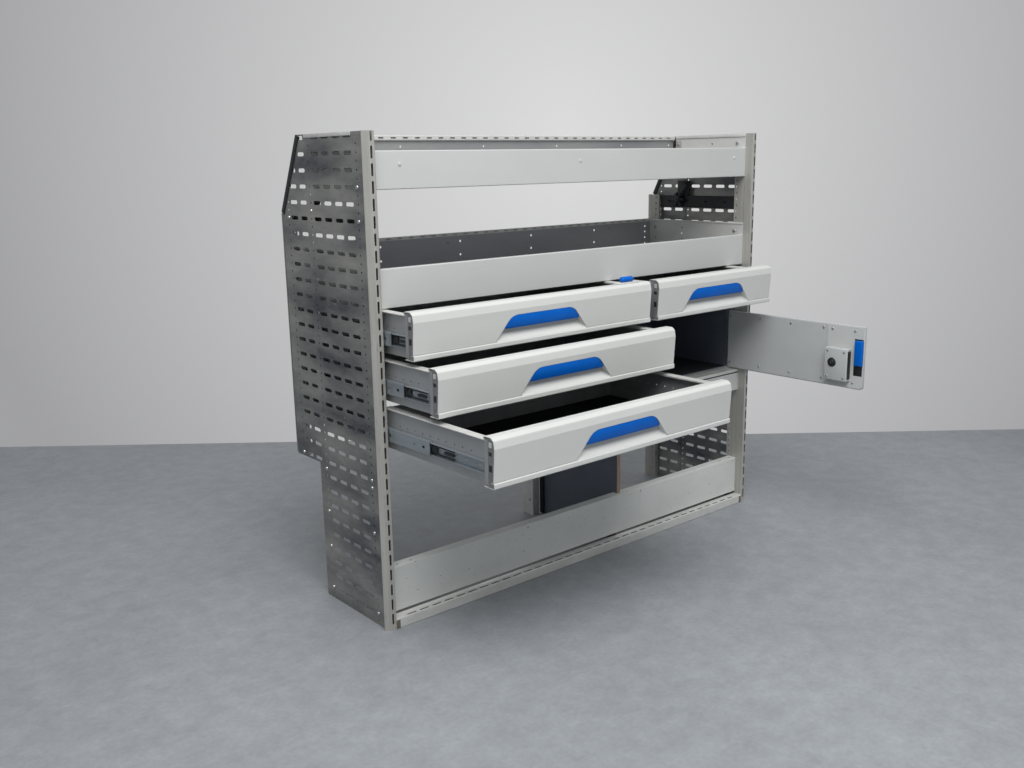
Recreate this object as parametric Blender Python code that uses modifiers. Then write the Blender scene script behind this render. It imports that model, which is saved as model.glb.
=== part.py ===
"""Van racking system with slotted end frames, two tiers, four drawers and a door compartment.

Lengths are metres and +Z is up. +X runs from the left end frame to the right one,
and the front looks along -Y. The origin is the middle of the bottom rail's underside.
A depth is measured backwards from the plane of the posts' front faces, an inset is
measured inwards from the outer face of an end frame, and a span is measured along +X
from the outer face of the left end frame.
"""

from math import cos, pi, radians, sin

import bmesh
import bpy
from mathutils import Matrix, Vector

# Driving sizes of the whole
WIDTH = 1.767
HEIGHT = 1.476
CLEARANCE = 0.0003
OVERRUN = 0.003
SHEET = 0.0015
SLOT_PITCH = 0.0476

# Front posts
POST_WIDTH = 0.0367
POST_BEVEL_WIDTH = 0.0195
POST_BEVEL_DEPTH = 0.0203
POST_WALL_DEPTH = 0.0345
POST_SLOT_LENGTH = 0.0355
POST_SLOT_WIDTH = 0.007
POST_SLOT_INSET = 0.0242

# Side panels, with the slanted corner at the rear and the wheel-arch step on the left
PANEL_INSET = 0.0126
MAIN_PANEL_DEPTH = 0.371
EXTENSION_START = 0.345
EXTENSION_DEPTH = 0.518
STEP_HEIGHT = 0.454
SLANT_DEPTH = 0.397
SLANT_DROP = 0.234
SLOT_LENGTH = 0.043
SLOT_HEIGHT = 0.012
BOTTOM_ROW_HEIGHT = 0.0381
COLUMN_PITCH = 0.0618
MAIN_COLUMNS = 4
MAIN_FIRST_COLUMN = 0.1078
EXTENSION_COLUMNS = 2
EXTENSION_FIRST_COLUMN = 0.3785
SLOT_EDGE_MARGIN = 0.005

# Rear uprights
UPRIGHT_DEPTH = 0.061
UPRIGHT_LAP = 0.049
UPRIGHT_DROP = 0.236
RIGHT_BAY_WIDTH = 0.764
MID_UPRIGHT_SPAN = WIDTH - RIGHT_BAY_WIDTH
MID_UPRIGHT_WIDTH = 0.0363

# Black edge trim and inner bands
TRIM_WALL = 0.0022
TRIM_COVER = 0.014
TRIM_END_MARGIN = 0.008
BAND_THICKNESS = 0.0108
BAND_WALL = 0.002
BAND_FRONT = 0.088
BAND_DROP = 0.286
BAND_HEIGHT = 0.047

# Bottom rail, bottom fascia and lower divider
RAIL_DEPTH = 0.035
RAIL_HEIGHT = 0.033
RAIL_SHEET = 0.002
RAIL_SLOT_INSET = 0.009
RAIL_SLOT_WIDTH = 0.006
RAIL_END_MARGIN = 0.020
FASCIA_LAP = 0.012
BOTTOM_FASCIA_BASE = 0.042
BOTTOM_FASCIA_HEIGHT = 0.144
BOTTOM_FASCIA_FLANGE = 0.036
DIVIDER_OFFSET = 0.045
DIVIDER_THICKNESS = 0.018
DIVIDER_FRONT = 0.050

# Top tier
TOP_TIER_DROP = 0.161
TOP_FASCIA_HEIGHT = 0.108
TOP_TIER_DEPTH = 0.397
TOP_SIDE_DEPTH = 0.381
TOP_RAIL_DROP = 0.002
TOP_SIDE_DROP = 0.001
TOP_RAIL_FLANGE = 0.012
FASCIA_FLANGE = 0.018

# Second tier
SECOND_TIER_DROP = 0.498
SECOND_FASCIA_HEIGHT = 0.115
SECOND_TIER_SETBACK = 0.002
SECOND_SIDE_OVERHANG = 0.010
SECOND_SIDE_RISE = 0.160
SECOND_REAR_RISE = 0.162
SECOND_REAR_FLANGE = 0.014
PAN_UPSTAND = 0.030

# Door compartment and its sill
SILL_DROP = 0.008
SILL_HEIGHT = 0.087
SILL_RETURN = 0.012
SILL_DEPTH = 0.130
BOX_FRONT = 0.100
BOX_REAR_MARGIN = 0.018
BOX_RISE = 0.242
BOX_WALL = 0.0015
BOX_JAMB = 0.077
BOX_HEADER = 0.003

# Door, hinge, lock and latch
HINGE_INSET = 0.040
HINGE_DEPTH = 0.082
HINGE_RADIUS = 0.0025
HINGE_LEAF = 0.003
HINGE_LEAF_DEPTH = 0.043
HINGE_SIDES = 16
HINGE_GAP = 0.003
DOOR_LENGTH = 0.600
DOOR_THICKNESS = 0.014
DOOR_WALL = 0.0012
DOOR_LIFT = 0.003
DOOR_HEIGHT = 0.230
LOCK_BOX_START = 0.461
LOCK_BOX_LENGTH = 0.092
LOCK_BOX_LIFT = 0.027
LOCK_BOX_HEIGHT = 0.119
LOCK_BOX_THICKNESS = 0.025
LOCK_RADIUS = 0.011
LOCK_LENGTH = 0.006
LOCK_SIDES = 24
LOCK_REACH_SHARE = 0.337
LOCK_HEIGHT_SHARE = 0.555
LATCH_LENGTH = 0.032
LATCH_HEIGHT = 0.092
LATCH_LIFT = 0.088
LATCH_THICKNESS = 0.012

# Drawer columns and levels
LEFT_COLUMN_SPAN = POST_WIDTH
LEFT_COLUMN_WIDTH = MID_UPRIGHT_SPAN - POST_WIDTH
RIGHT_COLUMN_SPAN = MID_UPRIGHT_SPAN + MID_UPRIGHT_WIDTH
RIGHT_COLUMN_MARGIN = 0.097
RIGHT_COLUMN_WIDTH = WIDTH - RIGHT_COLUMN_SPAN - RIGHT_COLUMN_MARGIN
FIRST_FRONT_DROP = 0.412
DRAWER_PITCH = 3 * SLOT_PITCH
CLOSED_FACE_LEAD = 0.012
TOP_DRAWERS_OPENING = 0.136
SECOND_DRAWER_OPENING = 0.244
THIRD_DRAWER_OPENING = 0.477

# Drawer fronts
FRONT_SIDE_GAP = 0.0018
FRONT_HEIGHT = 0.137
FRONT_THICKNESS = 0.045
FRONT_WALL = 0.002
FRONT_LIP_HEIGHT = 0.016
FRONT_LIP_SETBACK = 0.003
FRONT_LEAN = 0.0065
FRONT_FOLD_HEIGHT = 0.108
FRONT_SHOULDER_SETBACK = 0.004
FRONT_SHOULDER_HEIGHT = 0.129
FRONT_TOP_SETBACK = 0.015

# Handle opening in each front and the flap that hangs in it
SCOOP_BASE = 0.020
SCOOP_TOP = 0.092
SCOOP_BASE_HALF = 0.185
SCOOP_TOP_HALF = 0.126
FLAP_GAP = 0.0006
FLAP_HEIGHT = 0.0395
FLAP_THICKNESS = 0.003
FLAP_PIVOT_DROP = 0.0015
FLAP_TILT_DEGREES = 9.5

# Drawer trays and mats
TRAY_BASE = 0.003
TRAY_TOP = 0.125
TRAY_LENGTH = 0.475
TRAY_WALL = 0.0015
TRAY_RIM_INWARD = 0.020
TRAY_RIM_OUTWARD = 0.0075
MAT_THICKNESS = 0.003
MAT_GAP = 0.001

# Three-part slides
MOUNT_PLATE = 0.0025
MOUNT_FRONT_GAP = 0.0015
SLIDE_DEPTH = 0.0127
SLIDE_HEIGHT = 0.045
SLIDE_CENTRE = 0.049
SLIDE_LENGTH = 0.472
SLIDE_CABINET_WALL = 0.0015
SLIDE_MIDDLE_WALL = 0.0012
SLIDE_TIP_GAP = 0.0015
MOUNT_MARGIN = 0.008

# Each drawer: its column, its level from the lowest, and how far it stands open
DRAWERS = {
    "drawer_top_left": ("left", 2, TOP_DRAWERS_OPENING),
    "drawer_second": ("left", 1, SECOND_DRAWER_OPENING),
    "drawer_third": ("left", 0, THIRD_DRAWER_OPENING),
    "drawer_top_right": ("right", 2, TOP_DRAWERS_OPENING),
}
COLUMNS = {
    "left": (LEFT_COLUMN_SPAN, LEFT_COLUMN_WIDTH, (0, 1, 2)),
    "right": (RIGHT_COLUMN_SPAN, RIGHT_COLUMN_WIDTH, (2,)),
}

# Sizes that follow from the ones above
HALF = WIDTH / 2
FRONT = -RAIL_DEPTH / 2
SLANT_HEIGHT = HEIGHT - SLANT_DROP
UPRIGHT_HEIGHT = HEIGHT - UPRIGHT_DROP
UPRIGHT_FRONT = EXTENSION_DEPTH - UPRIGHT_LAP
BAND_BOTTOM = HEIGHT - BAND_DROP
TOP_TIER_BASE = HEIGHT - TOP_TIER_DROP
TOP_RAIL_HEIGHT = HEIGHT - TOP_RAIL_DROP
TOP_SIDE_HEIGHT = HEIGHT - TOP_SIDE_DROP
SECOND_TIER_BASE = HEIGHT - SECOND_TIER_DROP
SECOND_SIDE_HEIGHT = SECOND_TIER_BASE + SECOND_SIDE_RISE
SECOND_REAR_HEIGHT = SECOND_TIER_BASE + SECOND_REAR_RISE
FIRST_FRONT_BASE = SECOND_TIER_BASE - FIRST_FRONT_DROP
SILL_TOP = FIRST_FRONT_BASE - SILL_DROP
SILL_BASE = SILL_TOP - SILL_HEIGHT
BOX_TOP = SILL_TOP + BOX_RISE
BOX_BACK = EXTENSION_DEPTH - BOX_REAR_MARGIN
DOOR_BASE = SILL_TOP + DOOR_LIFT
LOCK_BOX_BASE = DOOR_BASE + LOCK_BOX_LIFT
LATCH_BASE = DOOR_BASE + LATCH_LIFT
DIVIDER_SPAN = MID_UPRIGHT_SPAN + DIVIDER_OFFSET
SECOND_TIER_DEPTH = EXTENSION_DEPTH - SECOND_TIER_SETBACK
SECOND_SIDE_DEPTH = EXTENSION_DEPTH + SECOND_SIDE_OVERHANG
FASCIA_DEPTH = POST_WALL_DEPTH + CLEARANCE
EXTENSION_INSET = PANEL_INSET + SHEET + CLEARANCE
UPRIGHT_INSET = EXTENSION_INSET + SHEET + CLEARANCE
SIDE_PLATE_INSET = POST_WIDTH + CLEARANCE
TIER_INSET = SIDE_PLATE_INSET + SHEET + CLEARANCE
PAN_FRONT = FASCIA_DEPTH + SHEET + CLEARANCE
PAN_LIFT = SHEET + CLEARANCE
MOUNT_FRONT = FASCIA_DEPTH + MOUNT_FRONT_GAP
COLUMN_WALL = CLEARANCE + MOUNT_PLATE
TRAY_INSET = COLUMN_WALL + SLIDE_DEPTH

SIDES = {"left": -1, "right": 1}

# Colour, roughness and metallic value of each material
MATERIALS = {
    "grey_enamel": ((0.33, 0.34, 0.33), 0.5, 0.0),
    "galvanised_steel": ((0.45, 0.46, 0.46), 0.4, 0.8),
    "light_enamel": ((0.72, 0.72, 0.69), 0.4, 0.0),
    "dark_enamel": ((0.06, 0.065, 0.075), 0.5, 0.0),
    "black_plastic": ((0.02, 0.02, 0.022), 0.5, 0.0),
    "blue_plastic": ((0.02, 0.12, 0.45), 0.4, 0.0),
    "zinc_steel": ((0.55, 0.56, 0.57), 0.35, 1.0),
    "film_plywood": ((0.09, 0.09, 0.10), 0.5, 0.0),
    "rubber_mat": ((0.02, 0.02, 0.025), 0.8, 0.0),
}


def clear_scene():
    for old in list(bpy.data.objects):
        bpy.data.objects.remove(old, do_unlink=True)


def new_collection(name):
    collection = bpy.data.collections.new(name)
    bpy.context.scene.collection.children.link(collection)
    return collection


def make_material(name):
    colour, roughness, metallic = MATERIALS[name]
    material = bpy.data.materials.new(name)
    material.use_nodes = True
    shader = material.node_tree.nodes["Principled BSDF"]
    shader.inputs["Base Color"].default_value = (*colour, 1.0)
    shader.inputs["Roughness"].default_value = roughness
    shader.inputs["Metallic"].default_value = metallic
    return material


def place(inset, depth, side):
    """World X and Y of a point given by its inset, depth and end frame."""
    return SIDES[side] * (HALF - inset), FRONT + depth


def at_span(span):
    """World X of a place measured from the outer face of the left end frame."""
    return span - HALF


def to_space(point, level, axis):
    """A 2D outline point as a 3D point, at a level along the axis it is pushed along."""
    first, second = point
    if axis == "X":
        return Vector((level, first, second))
    if axis == "Y":
        return Vector((first, level, second))
    return Vector((first, second, level))


def prism(outline, low, high, axis):
    """A closed shape: a flat outline pushed along one axis from low to high."""
    shape = bmesh.new()
    corners = [shape.verts.new(to_space(point, low, axis)) for point in outline]
    rim = [shape.edges.new((corners[i - 1], corner)) for i, corner in enumerate(corners)]
    face = bmesh.ops.edgeloop_fill(shape, edges=rim)["faces"]
    pushed = bmesh.ops.extrude_face_region(shape, geom=face)["geom"]
    moved = [item for item in pushed if isinstance(item, bmesh.types.BMVert)]
    travel = to_space((0, 0), high, axis) - to_space((0, 0), low, axis)
    bmesh.ops.translate(shape, verts=moved, vec=travel)
    bmesh.ops.recalc_face_normals(shape, faces=shape.faces)
    return shape


def folded(path, thickness):
    """Outline of a bent sheet; a positive thickness lies to the left of its path."""
    points = [Vector(point) for point in path]
    runs = [(b - a).normalized() for a, b in zip(points, points[1:])]
    normals = [Vector((-run.y, run.x)) for run in runs]
    inner = []
    for point, before, after in zip(points, normals[:1] + normals, normals + normals[-1:]):
        inner.append(point + (before + after) * (thickness / (1 + before.dot(after))))
    return [tuple(point) for point in points + inner[::-1]]


def blocks(centres, size):
    """Separate blocks of one size, as one cutting shape."""
    shape = bmesh.new()
    for centre in centres:
        matrix = Matrix.Translation(centre) @ Matrix.Diagonal((*size, 1))
        bmesh.ops.create_cube(shape, size=1, matrix=matrix)
    return shape


def block(low, high):
    """One block between two corners."""
    centre = [(a + b) / 2 for a, b in zip(low, high)]
    size = [b - a for a, b in zip(low, high)]
    return blocks([centre], size)


def add_object(name, shape, collection, origin=(0, 0, 0), parent=None):
    """An object from a shape drawn around its own origin."""
    mesh = bpy.data.meshes.new(name)
    shape.to_mesh(mesh)
    shape.free()
    piece = bpy.data.objects.new(name, mesh)
    piece.location = origin
    piece.parent = parent
    collection.objects.link(piece)
    return piece


def add_part(name, shape, material, origin=(0, 0, 0), parent=None):
    piece = add_object(name, shape, parts, origin, parent)
    piece.data.materials.append(materials[material])
    return piece


def cut(piece, shape, label):
    """Take a shape, drawn in the piece's own space, out of the piece."""
    cutter = add_object(piece.name + "_" + label, shape, cutters, parent=piece)
    cutter.hide_render = True
    cutter.display_type = "WIRE"
    hole = piece.modifiers.new(label, "BOOLEAN")
    hole.operation = "DIFFERENCE"
    hole.object = cutter


def row_heights(slot_height):
    """Heights of the slot rows that end below the top edge of an end frame."""
    room = HEIGHT - slot_height / 2 - SLOT_EDGE_MARGIN - BOTTOM_ROW_HEIGHT
    return [BOTTOM_ROW_HEIGHT + row * SLOT_PITCH for row in range(1 + int(room // SLOT_PITCH))]


def placed(points, side):
    """Inset and depth points as world X and Y points."""
    return [place(inset, depth, side) for inset, depth in points]


def front_post(side):
    path = [
        (PANEL_INSET - CLEARANCE, POST_BEVEL_DEPTH),
        (0, POST_BEVEL_DEPTH),
        (POST_BEVEL_WIDTH, 0),
        (POST_WIDTH, 0),
        (POST_WIDTH, POST_WALL_DEPTH),
    ]
    outline = placed(folded(path, SHEET), side)
    post = add_part(side + "_front_post", prism(outline, 0, HEIGHT, "Z"), "galvanised_steel")
    x, y = place(POST_SLOT_INSET, SHEET / 2, side)
    centres = [(x, y, height) for height in row_heights(POST_SLOT_LENGTH)]
    size = (POST_SLOT_WIDTH, SHEET + OVERRUN, POST_SLOT_LENGTH)
    cut(post, blocks(centres, size), "slots")


def slant_limit(height):
    """Depth of the slanted rear corner at a height."""
    share = (HEIGHT - height) / (HEIGHT - SLANT_HEIGHT)
    return SLANT_DEPTH + share * (EXTENSION_DEPTH - SLANT_DEPTH)


def extension_slots(side, base):
    """Places of the extension's slots that lie wholly inside its outline."""
    x = place(EXTENSION_INSET, 0, side)[0]
    centres = []
    for column in range(EXTENSION_COLUMNS):
        depth = EXTENSION_FIRST_COLUMN + column * COLUMN_PITCH
        rear = depth + SLOT_LENGTH / 2 + SLOT_EDGE_MARGIN
        for height in row_heights(SLOT_HEIGHT):
            above_base = height - SLOT_HEIGHT / 2 - SLOT_EDGE_MARGIN > base
            if above_base and rear < slant_limit(height + SLOT_HEIGHT / 2):
                centres.append((x, FRONT + depth, height))
    return centres


def main_slots(side):
    x = place(PANEL_INSET, 0, side)[0]
    depths = [MAIN_FIRST_COLUMN + column * COLUMN_PITCH for column in range(MAIN_COLUMNS)]
    return [(x, FRONT + depth, height) for depth in depths for height in row_heights(SLOT_HEIGHT)]


def slot_cutter(centres):
    return blocks(centres, (2 * (SHEET + OVERRUN), SLOT_LENGTH, SLOT_HEIGHT))


def panel_plate(outline, inset, side):
    outer = place(inset, 0, side)[0]
    inner = place(inset + SHEET, 0, side)[0]
    return prism(outline, min(outer, inner), max(outer, inner), "X")


def side_panels(side):
    base = STEP_HEIGHT if side == "left" else 0
    bevel_share = 1 - PANEL_INSET / POST_BEVEL_WIDTH
    front = POST_BEVEL_DEPTH * bevel_share + 2 * SHEET
    rear_slots = extension_slots(side, base)
    main_outline = [
        (FRONT + front, 0),
        (FRONT + MAIN_PANEL_DEPTH, 0),
        (FRONT + MAIN_PANEL_DEPTH, HEIGHT),
        (FRONT + front, HEIGHT),
    ]
    shape = panel_plate(main_outline, PANEL_INSET, side)
    main = add_part(side + "_side_panel", shape, "galvanised_steel")
    cut(main, slot_cutter(main_slots(side) + rear_slots), "slots")
    rear_outline = [
        (FRONT + EXTENSION_START, base),
        (FRONT + EXTENSION_DEPTH, base),
        (FRONT + EXTENSION_DEPTH, SLANT_HEIGHT),
        (FRONT + SLANT_DEPTH, HEIGHT),
        (FRONT + EXTENSION_START, HEIGHT),
    ]
    shape = panel_plate(rear_outline, EXTENSION_INSET, side)
    rear = add_part(side + "_panel_extension", shape, "galvanised_steel")
    cut(rear, slot_cutter(rear_slots), "slots")


def rear_upright(side):
    base = STEP_HEIGHT if side == "left" else 0
    back = UPRIGHT_FRONT + UPRIGHT_DEPTH
    path = [
        (UPRIGHT_INSET, UPRIGHT_FRONT),
        (POST_WIDTH, UPRIGHT_FRONT),
        (POST_WIDTH, back),
        (UPRIGHT_INSET, back),
    ]
    outline = placed(folded(path, SHEET), side)
    shape = prism(outline, base, UPRIGHT_HEIGHT, "Z")
    add_part(side + "_rear_upright", shape, "galvanised_steel")


def mid_upright():
    left = at_span(MID_UPRIGHT_SPAN)
    right = left + MID_UPRIGHT_WIDTH
    front = FRONT + UPRIGHT_FRONT
    back = front + UPRIGHT_DEPTH
    path = [(left, back), (left, front), (right, front), (right, back)]
    top = SECOND_TIER_BASE + PAN_LIFT - CLEARANCE
    add_part("mid_rear_upright", prism(folded(path, SHEET), 0, top, "Z"), "galvanised_steel")


def edge_trim(side):
    """A channel that grips the slanted edge of the panel extension."""
    top = Vector((FRONT + SLANT_DEPTH, HEIGHT))
    foot = Vector((FRONT + EXTENSION_DEPTH, SLANT_HEIGHT))
    along = (foot - top).normalized()
    outward = Vector((-along.y, along.x))
    start = top + along * TRIM_END_MARGIN
    end = foot - along * TRIM_END_MARGIN
    rim = outward * (TRIM_WALL + CLEARANCE)
    cover = outward * -TRIM_COVER
    outline = [tuple(p) for p in (start + rim, end + rim, end + cover, start + cover)]
    centre = place(EXTENSION_INSET + SHEET / 2, 0, side)[0]
    half = SHEET / 2 + CLEARANCE + TRIM_WALL
    shape = prism(outline, centre - half, centre + half, "X")
    trim = add_part(side + "_edge_trim", shape, "black_plastic")
    groove = outward * CLEARANCE
    past = along * OVERRUN
    below = outward * -(TRIM_COVER + OVERRUN)
    corners = (start + groove - past, end + groove + past, end + below + past, start + below - past)
    half = SHEET / 2 + CLEARANCE
    cut(trim, prism([tuple(p) for p in corners], centre - half, centre + half, "X"), "groove")


def side_band(side):
    """Black channel on the inside of an end frame, between the post and the upright."""
    inner = UPRIGHT_INSET + BAND_THICKNESS
    top = BAND_BOTTOM + BAND_HEIGHT
    corners = [(UPRIGHT_INSET, BAND_BOTTOM), (inner, BAND_BOTTOM), (inner, top), (UPRIGHT_INSET, top)]
    outline = [(place(inset, 0, side)[0], z) for inset, z in folded(corners, BAND_WALL)]
    shape = prism(outline, FRONT + BAND_FRONT, FRONT + UPRIGHT_FRONT - CLEARANCE, "Y")
    add_part(side + "_side_band", shape, "black_plastic")


def long_sheet(name, path, thickness, low, high, material):
    """A bent sheet that runs along X; its path holds depths and heights."""
    outline = [(FRONT + depth, height) for depth, height in folded(path, thickness)]
    return add_part(name, prism(outline, low, high, "X"), material)


def bottom_rail():
    path = [(RAIL_DEPTH, RAIL_HEIGHT), (0, RAIL_HEIGHT), (0, 0), (RAIL_DEPTH, 0)]
    reach = HALF - POST_WIDTH - CLEARANCE
    rail = long_sheet("bottom_rail", path, RAIL_SHEET, -reach, reach, "zinc_steel")
    y = FRONT + RAIL_SLOT_INSET
    z = RAIL_HEIGHT - RAIL_SHEET / 2
    gaps = int((2 * (reach - RAIL_END_MARGIN) - POST_SLOT_LENGTH) / SLOT_PITCH)
    first = -gaps / 2 * SLOT_PITCH
    centres = [(first + slot * SLOT_PITCH, y, z) for slot in range(gaps + 1)]
    cut(rail, blocks(centres, (POST_SLOT_LENGTH, RAIL_SLOT_WIDTH, RAIL_SHEET + OVERRUN)), "slots")


def bottom_fascia():
    top = BOTTOM_FASCIA_BASE + BOTTOM_FASCIA_HEIGHT
    back = FASCIA_DEPTH + BOTTOM_FASCIA_FLANGE
    path = [(FASCIA_DEPTH, BOTTOM_FASCIA_BASE), (FASCIA_DEPTH, top), (back, top)]
    reach = HALF - POST_WIDTH + FASCIA_LAP
    long_sheet("bottom_fascia", path, -SHEET, -reach, reach, "light_enamel")


def mid_divider():
    low_x = at_span(DIVIDER_SPAN)
    notch_top = BOTTOM_FASCIA_BASE + BOTTOM_FASCIA_HEIGHT + CLEARANCE
    notch_back = FRONT + FASCIA_DEPTH + BOTTOM_FASCIA_FLANGE + CLEARANCE
    top = SILL_TOP - SHEET - CLEARANCE
    front = FRONT + DIVIDER_FRONT
    back = FRONT + UPRIGHT_FRONT
    outline = [(notch_back, 0), (back, 0), (back, top), (front, top), (front, notch_top), (notch_back, notch_top)]
    add_part("mid_divider", prism(outline, low_x, low_x + DIVIDER_THICKNESS, "X"), "film_plywood")


def cross_rail():
    path = [
        (FASCIA_DEPTH + SILL_RETURN, SILL_BASE),
        (FASCIA_DEPTH, SILL_BASE),
        (FASCIA_DEPTH, SILL_TOP),
        (SILL_DEPTH, SILL_TOP),
    ]
    low = at_span(RIGHT_COLUMN_SPAN) + CLEARANCE
    high = HALF - POST_WIDTH + FASCIA_LAP
    long_sheet("cross_rail", path, -SHEET, low, high, "galvanised_steel")


def tier_fascia(name, base, height, material):
    path = [
        (FASCIA_DEPTH + FASCIA_FLANGE, base),
        (FASCIA_DEPTH, base),
        (FASCIA_DEPTH, base + height),
        (FASCIA_DEPTH + FASCIA_FLANGE, base + height),
    ]
    reach = HALF - TIER_INSET
    long_sheet(name, path, -SHEET, -reach, reach, material)


def top_shelf_pan():
    floor = TOP_TIER_BASE + PAN_LIFT
    brim = TOP_RAIL_HEIGHT - SHEET
    path = [
        (PAN_FRONT, floor),
        (TOP_TIER_DEPTH, floor),
        (TOP_TIER_DEPTH, brim),
        (TOP_TIER_DEPTH + TOP_RAIL_FLANGE, brim),
    ]
    reach = HALF - TIER_INSET
    long_sheet("top_shelf_pan", path, SHEET, -reach, reach, "galvanised_steel")


def top_side(side):
    """Plate beside the top tier, with a flange that reaches out over to the panel."""
    inner = SIDE_PLATE_INSET + SHEET
    path = [(inner, TOP_TIER_BASE), (inner, TOP_SIDE_HEIGHT), (UPRIGHT_INSET, TOP_SIDE_HEIGHT)]
    outline = [(place(inset, 0, side)[0], z) for inset, z in folded(path, SHEET)]
    shape = prism(outline, FRONT + FASCIA_DEPTH, FRONT + TOP_SIDE_DEPTH, "Y")
    add_part("top_side_" + side, shape, "galvanised_steel")


def second_side(side):
    low, high = sorted(place(SIDE_PLATE_INSET + extra, 0, side)[0] for extra in (0, SHEET))
    near = (low, FRONT + FASCIA_DEPTH, SECOND_TIER_BASE)
    far = (high, FRONT + SECOND_SIDE_DEPTH, SECOND_SIDE_HEIGHT)
    add_part("second_side_" + side, block(near, far), "galvanised_steel")


def second_shelf_pan():
    floor = SECOND_TIER_BASE + PAN_LIFT
    back = SECOND_TIER_DEPTH - CLEARANCE
    path = [(PAN_FRONT, floor), (back, floor), (back, floor + PAN_UPSTAND)]
    reach = HALF - TIER_INSET
    long_sheet("second_shelf_pan", path, SHEET, -reach, reach, "galvanised_steel")


def second_rear_panel():
    path = [
        (SECOND_TIER_DEPTH, SECOND_TIER_BASE + PAN_LIFT),
        (SECOND_TIER_DEPTH, SECOND_REAR_HEIGHT),
        (SECOND_TIER_DEPTH + SECOND_REAR_FLANGE, SECOND_REAR_HEIGHT),
    ]
    reach = HALF - TIER_INSET
    long_sheet("second_rear_panel", path, -SHEET, -reach, reach, "galvanised_steel")


def hinge_axis():
    return place(HINGE_INSET, HINGE_DEPTH, "right")


def compartment_box():
    """Sheet box behind the door, open at the front beside its jamb."""
    low = Vector((at_span(RIGHT_COLUMN_SPAN) + CLEARANCE, FRONT + BOX_FRONT, SILL_TOP + CLEARANCE))
    right = hinge_axis()[0] - HINGE_LEAF / 2 - CLEARANCE
    high = Vector((right, FRONT + BOX_BACK, BOX_TOP))
    box = add_part("compartment_box", block(low, high), "dark_enamel")
    wall = Vector((BOX_WALL, BOX_WALL, BOX_WALL))
    cut(box, block(low + wall, high - wall), "room")
    doorway_low = (low.x + BOX_JAMB, low.y - OVERRUN, low.z + BOX_WALL)
    doorway_high = (high.x - BOX_WALL, low.y + OVERRUN, high.z - BOX_WALL - BOX_HEADER)
    cut(box, block(doorway_low, doorway_high), "doorway")


def front_base(level):
    return FIRST_FRONT_BASE + level * DRAWER_PITCH


def slide_teeth(x_face, inward, levels):
    """The mounting plate's inner edge with a pair of slide lips at each level."""
    lip = x_face + inward * (SLIDE_DEPTH - SLIDE_TIP_GAP)
    half = SLIDE_HEIGHT / 2
    edge = []
    for level in levels:
        centre = front_base(level) + SLIDE_CENTRE
        for low in (centre - half, centre + half - SLIDE_CABINET_WALL):
            high = low + SLIDE_CABINET_WALL
            edge += [(x_face, low), (lip, low), (lip, high), (x_face, high)]
    return edge


def mount_plate(column, end):
    """Plate on one side of a drawer column that carries the cabinet slide members."""
    span, width, levels = COLUMNS[column]
    inward = 1 if end == "left" else -1
    wall = at_span(span) if end == "left" else at_span(span + width)
    outer = wall + inward * CLEARANCE
    face = wall + inward * COLUMN_WALL
    base = front_base(levels[0]) + SLIDE_CENTRE - SLIDE_HEIGHT / 2 - MOUNT_MARGIN
    top = SECOND_TIER_BASE - CLEARANCE
    outline = [(face, base)] + slide_teeth(face, inward, levels) + [(face, top)]
    if column == "right" and end == "right":
        frame = HALF - POST_WIDTH - CLEARANCE
        outline += [(frame, top), (frame, top - SHEET), (outer, top - SHEET)]
        outline += [(outer, base + SHEET), (frame, base + SHEET), (frame, base)]
    else:
        outline += [(outer, top), (outer, base)]
    shape = prism(outline, FRONT + MOUNT_FRONT, FRONT + MOUNT_FRONT + SLIDE_LENGTH, "Y")
    add_part(column + "_column_slide_mount_" + end, shape, "zinc_steel")


def drawer_empty(name):
    """An empty at the middle of the drawer front's lower edge, which carries the drawer."""
    column, level, opening = DRAWERS[name]
    span, width, _ = COLUMNS[column]
    holder = bpy.data.objects.new(name + "_place", None)
    holder.location = (at_span(span + width / 2), FRONT - CLOSED_FACE_LEAD - opening, front_base(level))
    parts.objects.link(holder)
    return holder


def drawer_front(name, half, holder):
    profile = [
        (FRONT_THICKNESS, 0),
        (FRONT_LIP_SETBACK, 0),
        (FRONT_LIP_SETBACK, FRONT_LIP_HEIGHT),
        (FRONT_LEAN, FRONT_LIP_HEIGHT),
        (0, FRONT_FOLD_HEIGHT),
        (FRONT_SHOULDER_SETBACK, FRONT_SHOULDER_HEIGHT),
        (FRONT_TOP_SETBACK, FRONT_HEIGHT),
        (FRONT_THICKNESS, FRONT_HEIGHT),
    ]
    shape = prism(profile, -half, half, "X")
    back = [face for face in shape.faces if face.normal.y > cos(radians(1))]
    bmesh.ops.delete(shape, geom=back, context="FACES")
    front = add_part(name + "_front", shape, "light_enamel", parent=holder)
    wall = front.modifiers.new("wall", "SOLIDIFY")
    wall.thickness = FRONT_WALL
    wall.offset = -1
    wall.use_even_offset = True
    opening = [
        (-SCOOP_BASE_HALF, SCOOP_BASE),
        (SCOOP_BASE_HALF, SCOOP_BASE),
        (SCOOP_TOP_HALF, SCOOP_TOP),
        (-SCOOP_TOP_HALF, SCOOP_TOP),
    ]
    cut(front, prism(opening, -OVERRUN, FRONT_THICKNESS / 2, "Y"), "handle_opening")


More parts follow.
